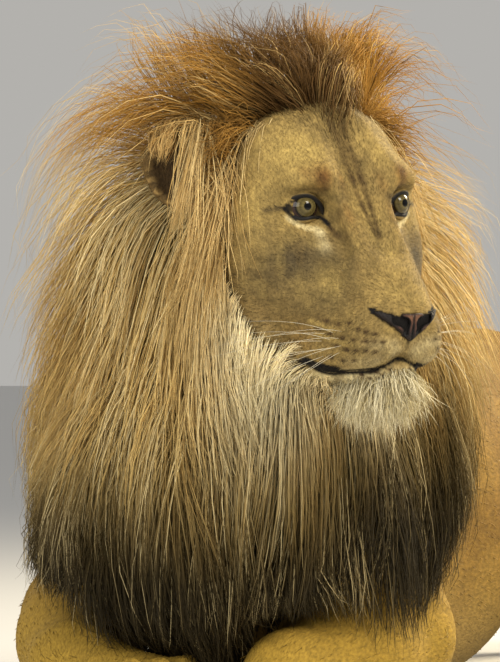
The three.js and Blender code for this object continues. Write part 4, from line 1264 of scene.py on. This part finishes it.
def mane_flow(p):
    """Which way the long hair runs: a fan about the head, that turns down at the sides and the chest."""
    q = in_head(p)
    f, l, u = q.T
    fan = unit((q - FAN) * V(0, 1, 1)) @ HEAD_AXES
    crest = (ramp(u, 10, 95) * (1 - 0.6 * ramp(np.abs(l), 120, 230)))[:, None]
    chest = ramp(-u, 150, 250)[:, None]
    side = (1 - crest) * (1 - chest)
    near_head = 1 - ramp(np.linalg.norm(p - head(-90, 0, 0), axis=1), 170, 380)[:, None]
    back = lerp(V(0, 1, 0), -AHEAD, near_head)
    spread = (np.sign(l) * ramp(np.abs(l), 0, 80))[:, None] * LEFT
    return (
        crest * (0.22 * back + 1.0 * fan + 0.15 * UP)
        + side * ((0.5 - 0.25 * near_head) * back - 0.85 * UP + (0.3 + 0.15 * near_head) * spread)
        + chest * (0.08 * back - 1.0 * UP)
    )


ACROSS = V(1, 0.36, 0)  # the photo's left to right, in plan
EAR_DISH = 52  # how deep the mane is round the ears
HEM = 180  # height at which the mane ends over the forelegs
MANE_TOP = 864  # just under the top of the part
SIDE_TOP = 560  # height from which the mane's sides change downwards
BROWN_BELOW, DARK_BELOW = 420, 330
ARM_PLAN = join(list(ARMS.values()), 1)


def grow(p, n, long, depth):
    """Paths of long hair from roots p: they rise to their depth in the mane as they follow its flow."""
    paths = [p - n * 3]
    at = p.copy()
    seeds = (11, 12, 13)
    height = in_head(p)[:, 2]
    wild = (1 + 1.1 * ramp(height, 20, 90) + 0.6 * ramp(-height, 80, 220))[:, None]
    waver = 0.7 * wild * (np.stack([value_noise(p, 95, s) for s in seeds], 1) - 0.5)
    waver += 0.5 * wild * (np.stack([value_noise(p, 32, s + 5) for s in seeds], 1) - 0.5)
    full_step = long / (POINTS - 1)
    for k in range(1, POINTS):
        t = k / (POINTS - 1)
        over_arm = ARM_PLAN(at * V(1, 1, 0) + UP * 95)
        by_elbow = ramp(at @ ACROSS, 115, 175)
        hem = HEM * np.maximum(ramp(-at[:, 0], 170, 240), (1 - ramp(over_arm, 0, 45)) * (1 - 0.6 * by_elbow))
        step = full_step * (0.12 + 0.88 * ramp(at[:, 2] - hem, 0, 70))
        out = slope(mane_depth, at, 3)
        f, l, u = in_head(at).T
        upright = ramp(u, 20, 110) * (1 - 0.7 * ramp(np.abs(l), 90, 180))
        way = mane_flow(at) + waver * (1.2 - 0.8 * t) - UP * (0.4 * t * (1 - upright))[:, None]
        way = way - out * (np.einsum("ij,ij->i", way, out) * (0.85 - 0.7 * upright))[:, None]
        at = at + unit(way) * step[:, None]
        target = depth * (1 - (1 - t) ** 1.8)
        by_ear = nearer(ear_field, at)
        target = np.minimum(target, EAR_DISH + 1.5 * np.maximum(by_ear, 0) + 160 * ramp(u, 75, 120))
        rise = np.clip(target - mane_depth(at), -0.8 * step, 0.9 * step)
        at = keep_out(at + out * rise[:, None], ((BODY_ROOM, 4), (LEGS, 5)))
        at[:, 2] = np.clip(at[:, 2], 5 + 10 * rng.random(len(at)), MANE_TOP)
        paths.append(at.copy())
    return np.stack(paths, axis=1)


def mane_colour(p, clump):
    """The long hair's colour where it hangs: gold and orange-brown above, dark below, pale by the cheeks,
    with painted light by the face and on the crest's left side.
    """
    q = in_head(p)
    f, l, u = q.T
    z = p[:, 2]
    patch = value_noise(p, 90, 21)
    ruff = np.maximum(blob(q, (-55, 95, -150), (70, 60, 70)), blob(q, (-40, 85, -215), (80, 60, 80)))
    far_side = ramp(p @ ACROSS, 60, 190) * ramp(SIDE_TOP - z, 0, 200)
    z = z - 70 * far_side
    streak = 1 - 0.6 * ramp(clump, 0.6, 0.9)
    crest = ramp(u, 20, 100) * (1 - ramp(-f, 180, 460))
    c = tint(
        np.tile(BLOND, (len(p), 1)),
        (BLOND_LIGHT, ramp(clump, 0.45, 1.0) * 0.9),
        (MANE_TAN, ramp(0.45 - clump, 0, 0.4)),
        (RUFF_PALE, 1.3 * ruff * (0.6 + 0.5 * clump)),
        (MANE_BROWN, ramp(BROWN_BELOW + 100 * (patch - 0.5) + 120 * (clump - 0.5) - z, 0, 200) * streak),
        (MANE_DARK, ramp(DARK_BELOW + 60 * (patch - 0.5) - z, 0, 170) * streak),
        (CREST, crest * (1 - 0.6 * ramp(clump, 0.5, 1))),
        # Gold tips on the crest, made stronger on the head's left side as painted rim light.
        (CREST_GOLD, crest * ramp(clump, 0.55, 1) * lerp(0.35, 1.0, ramp(l, 0, 60))),
        (CREST_BROWN, crest * (1 - ramp(np.abs(l + 20), 40, 120)) * ramp(1.05 - clump, 0, 0.4) * 0.95),
    )
    # Painted light: hair by the lower face is brightened, lifting the painted root shade and the shadow along
    # the ruff's edge.
    face_edge_light = ramp(ahead_of_hairline(p), -30, 10) * ramp(-u, 0, 60)
    return c * (1 + 0.2 * face_edge_light)[:, None]


EAR_WINDOW = 22, 42  # how far below the ear's middle it lies, and its radius


def crosses_ear(paths, s):
    """Whether hair hangs before the lower part of an ear, which shows through a round window."""
    fine = np.concatenate([lerp(paths[:, :-1], paths[:, 1:], t) for t in (0, 0.25, 0.5, 0.75)], axis=1)
    ahead, height, aside = np.moveaxis((fine - ear_centre(s)) @ ear_frame(s).T, 2, 0)
    return ((ahead > -8) & (np.hypot(height + EAR_WINDOW[0], aside) < EAR_WINDOW[1])).any(axis=1)


CREST_RISE, RUFF_RISE = 262, 152
# The neck's middle in plan, and the bearings round it, in degrees, between which the throat's hair grows.
MANE_MIDDLE, THROAT_FROM, THROAT_TO = V(38, -78, 0), -42, 82
EDGE = 22  # how far ahead of the hairline the short front hairs of the mane start
CREST_LONG, SIDE_LONG, CHEST_LONG = 285, 290, 290
MANE_HAIRS, HAIRS_TO_A_PIECE = 28000, 5700
HAIRS_TO_A_LOCK, HAIRS_TO_A_STRAND = 110, 16
# Where the mane grows and how densely, with a ragged front edge.
maned = (mane_depth(skin_verts) < 40) & (hairline < EDGE) & (LEGS(skin_verts) > -2) & (skin_verts[:, 1] < 300)
maned &= nearer(ear_field, skin_verts) > 3
maned &= (vertex_q[:, 0] < 10) & ~bare
ragged = hairline + 22 * (value_noise(skin_verts, 13, 71) - 0.5) * (vertex_q[:, 2] < 40)
mane_weight = maned * (0.7 + 1.1 * (1 - ramp(-hairline, 0, 60))) * (1 - ramp(ragged, -6, EDGE))
mane_weight = mane_weight * np.where(skin_verts[:, 1] > 60, 0.6, 1.0)
mane_weight *= 1 + 1.3 * ramp(vertex_q[:, 1], 20, 80) * ramp(vertex_q[:, 2], -20, 60)
roots, normals = scatter(MANE_HAIRS, mane_weight)
f, l, u = in_head(roots).T
behind = -ahead_of_hairline(roots)
crest, chest = ramp(u, 10, 85), ramp(-u, 170, 250)
# How far out each hair rises, and how long it is.
depth = lerp(RUFF_RISE, CREST_RISE, crest) * (0.3 + 0.7 * rng.random(len(roots)) ** 0.55)
depth *= 1 + crest * 0.5 * (value_noise(roots, 60, 61) - 0.6) + 0.25 * ramp(l, 40, 110) * ramp(u, -60, 40)
low_side = ramp(-roots[:, 0], 40, 160) * ramp(SIDE_TOP - roots[:, 2], 0, 200)
high_side = ramp(-l, 60, 110) * ramp(roots[:, 2], 480, 560)
depth *= 1 + (1 - crest) * (0.42 * low_side - 0.34 * high_side - 0.08 * ramp(l, 20, 120))
depth *= 1 - 0.22 * ramp(-l, 50, 110) * ramp(u, -10, 40)
under = 1 - depth / depth.max()
depth *= lerp(0.05 + 0.95 * ramp(behind, -EDGE, 80), 0.3 + 0.7 * ramp(behind, -EDGE, 45), crest)
long = CREST_LONG * crest + SIDE_LONG * (1 - crest) * (1 - chest) + CHEST_LONG * chest
long = long * (0.65 + 0.6 * rng.random(len(roots)))
long *= lerp(0.12 + 0.88 * ramp(behind, -EDGE, 85), 0.45 + 0.55 * ramp(behind, -EDGE, 40), crest)
long *= 1 + 0.2 * ramp(l, 40, 120) * (1 - crest) - 0.2 * ramp(-l, 50, 110) * crest
mane_paths = grow(roots, normals, long, depth)
open_ear = ~(crosses_ear(mane_paths, 1) | crosses_ear(mane_paths, -1))
mane_paths, roots, under = mane_paths[open_ear], roots[open_ear], under[open_ear]
# How much each hair lies at the mane's front edge: there it is thinner and its root gets none of the painted
# root shade.
front_edge_root = ((1 - ramp(behind, -EDGE, 45)) * (1 - crest))[open_ear]
# The hair is gathered into locks and then into finer strands, and both give it its tone.
big = rng.permutation(len(roots))[: len(roots) // HAIRS_TO_A_LOCK]
mane_paths, big_of = gather(mane_paths, roots, big, 0.32)
small = rng.permutation(len(roots))[: len(roots) // HAIRS_TO_A_STRAND]
mane_paths, small_of = gather(mane_paths, roots, small, 0.6)
mane_tone = 0.55 * value_noise(roots[small_of], 3, 31) + 0.45 * value_noise(roots[big_of], 3, 33)
mane_tone = np.clip(0.5 + 1.3 * (mane_tone - 0.5) + rng.normal(size=len(roots)) * 0.14, 0, 1)
strand = (0.56 + 0.7 * under**2) * (1 - 0.22 * ramp(in_head(roots)[:, 2], 20, 90)) * (1 - 0.45 * front_edge_root)
mane_facing = slope(mane_depth, mane_paths[:, POINTS // 2], 3) + 0.35 * rng.normal(size=(len(roots), 3))
# Which of the part's mane nodes each hair belongs to: crest, right, left or throat.
from_middle = roots - MANE_MIDDLE
bearing = np.degrees(np.arctan2(from_middle[:, 0], -from_middle[:, 1]))
above = (roots - head(-105, 0, 12)) @ (unit(V(-0.5, 0, 0.87)) @ HEAD_AXES) > 0
low_group = np.where(bearing >= THROAT_TO, 2, np.where(bearing > THROAT_FROM, 3, 1))
group = np.where(above, 0, low_group)
MANE_SLOTS = {"neck_crest": "mane_crest", "neck_right": "mane", "neck_left": "mane", "throat": "mane_dark"}
for number, (part, slot) in enumerate(MANE_SLOTS.items()):
    here = group == number
    pieces = int(math.ceil(here.sum() / HAIRS_TO_A_PIECE))
    hair(f"{part}_hair", mane_paths[here], roots[here], mane_tone[here], strand[here][:, None], pieces,
         [f"{part}_mane"], mane_colour, mane_facing[here], unshaded=front_edge_root[here])


# ---------- beard, ears and tail tuft ----------
def tufted(name, count, weight, way, lift, droop, long, thick, colours, clump, stray=5.0, hold=0.6,
           curl=2.5, pull=1.1, nodes=()):
    """Hair that leaves the skin along `way`, lifted off it at first and drooping to its tip."""
    p, n = scatter(count, weight)
    way = way(p, n)
    length = long * (0.6 + 0.8 * rng.random(count))
    share = np.linspace(0, 1, POINTS)[None, :, None]
    run = unit(way + n * lift)[:, None, :] * (share - 0.4 * share**2) + unit(way)[:, None, :] * 0.4 * share**2
    paths = p[:, None, :] - n[:, None, :] * 2 + (run - UP * droop * share**2) * length[:, None, None]
    flat = keep_out(paths[:, 1:].reshape(-1, 3), ((BODY_ROOM, 1.5),))
    paths = np.concatenate([paths[:, :1], flat.reshape(count, POINTS - 1, 3)], axis=1)
    chosen = rng.permutation(count)[: max(1, count // clump)]
    paths, near = gather(paths, p, chosen, hold, pull)
    tone = np.clip(value_noise(p[near], 3, 41) + rng.normal(size=count) * 0.15, 0, 1)
    dark, light = colours
    hair(name, paths, p, tone, thick, 1, nodes, lambda _, tone: lerp(dark, light, tone[:, None]),
         n + 0.3 * rng.normal(size=p.shape), stray, curl)


def outward(p):
    """Away from the middle of the head, to the side that p lies on."""
    return np.sign(in_head(p)[:, 1])[:, None] * LEFT


def stirred(p, by):
    """Random directions, one for each of p."""
    return by * rng.normal(size=p.shape)


f, l, u = vertex_q.T
chin = (JAW(skin_verts) < FACE(skin_verts) - 6) & (u < -186) & (f > -60) & ~bare
tufted("beard", 1700, chin * ramp(f, -20, 30) * (1 - ramp(np.abs(l), 28, 44)),
       lambda p, n: V(-0.1, 0, -0.8) @ HEAD_AXES + 0.55 * n, 1.0, 0.35, 28, 0.5,
       (rgb(172, 154, 104), rgb(240, 230, 196)), clump=14, stray=8.0)
on_ear = (nearer(ear_field, skin_verts) < 3).astype(float)
left_q, right_q = ((skin_verts - ear_centre(s)) @ ear_frame(s).T for s in (1, -1))
ear_q = np.where((l > 0)[:, None], left_q, right_q)
ear_height, ear_inward = ear_q[:, 1], ear_q[:, 2] * np.where(l > 0, 1, -1)
tufted("ear_locks", 760, on_ear * ramp(ear_inward, 6, 30) * ramp(ear_height, 0, 30),
       lambda p, n: -0.75 * UP + 0.1 * outward(p) + 0.4 * n + stirred(p, 0.12), 0.6, 0.5, 100, 0.62,
       (rgb(170, 132, 66), rgb(244, 218, 158)), clump=95, stray=4.0, hold=1.0, pull=0.5)
tufted("ear_tufts", 520, on_ear * ramp(ear_height, 30, 44),
       lambda p, n: -0.35 * UP + 0.35 * outward(p) + 0.35 * n + stirred(p, 0.15), 0.7, 0.6, 44, 0.62,
       (rgb(140, 100, 44), rgb(236, 204, 136)), clump=52, stray=4.0, hold=1.0, pull=0.5)
woolly = blob(vertex_q, (-112, 84, 76), (26, 26, 24)) * (hairline < 30) * (1 - on_ear)
tufted("woolly_tufts", 1000, woolly,
       lambda p, n: 0.2 * UP + 0.5 * outward(p) + 0.5 * AHEAD + 0.5 * n + stirred(p, 0.5), 0.8, 0.5, 66, 0.7,
       (rgb(84, 58, 24), rgb(190, 142, 66)), clump=30, stray=6.0, hold=0.7, curl=8.0)
temple = (np.abs(hairline - 4) < 16) & (np.abs(l) > 60) & (u > -30) & (u < 110)
tufted("temple_locks", 1150, temple * (0.4 + ramp(u, 0, 60)),
       lambda p, n: -0.9 * UP + 0.1 * AHEAD + 0.25 * n + stirred(p, 0.25), 0.35, 0.5, 120, 0.6,
       (rgb(168, 130, 66), rgb(236, 208, 146)), clump=18, stray=9.0)
tuft_weight = ((TUFT_CORE(skin_verts) < 4) & (skin_verts[:, 1] < 930)).astype(float)
tail_way = unit(TAIL[8] - TAIL[6])
tufted("tail_tuft_hair", 1150, tuft_weight, lambda p, n: tail_way + 0.35 * n, 0.4, 0.12, 84, 1.3,
       (rgb(34, 26, 14), rgb(84, 62, 30)), clump=16, nodes=["tail_tuft"])

# ---------- whiskers ----------
WHISKER_POINTS, WHISKER_SETTLE = 9, 24  # points along each, and steps by which its root finds the skin
for s, side in SIDES:
    starts, ways, spans = [], [], []
    for row, (drop, rise) in enumerate(((-139, 0.3), (-148, 0.12), (-158, -0.1), (-167, -0.3))):
        for k in range(3):
            start = head(68 - 14 * k - 4 * (row % 2), s * 75, drop - 1.5 * k)
            for _ in range(WHISKER_SETTLE):
                start = start - slope(MUZZLE, start[None])[0] * MUZZLE(start[None])[0]
            starts.append(start)
            ways.append(unit(V(0.25 - 0.25 * k, s, rise + 0.12 * rng.normal())) @ HEAD_AXES)
            spans.append(70 + 12 * k + 30 * rng.random())
    starts, ways, spans = np.array(starts), np.array(ways), np.array(spans)
    share = np.linspace(0, 1, WHISKER_POINTS)[None, :, None]
    sweep = (-AHEAD * 0.45 - UP * 0.22)[None, None, :]
    paths = starts[:, None, :] + (ways[:, None, :] * share + sweep * share**2) * spans[:, None, None]
    radii = 0.27 * (1 - 0.75 * share[:, :-1, 0]) * np.ones((len(starts), 1))
    colours = np.tile(rgb(232, 224, 200), (len(starts), WHISKER_POINTS, 1))
    uvs = unwrap(starts, np.full(len(starts), HEAD_REGION))
    whiskers = tubes(f"whiskers_{side}", paths, radii, colours, uvs, ways + UP, 1.0, EYE)
    dress(whiskers)
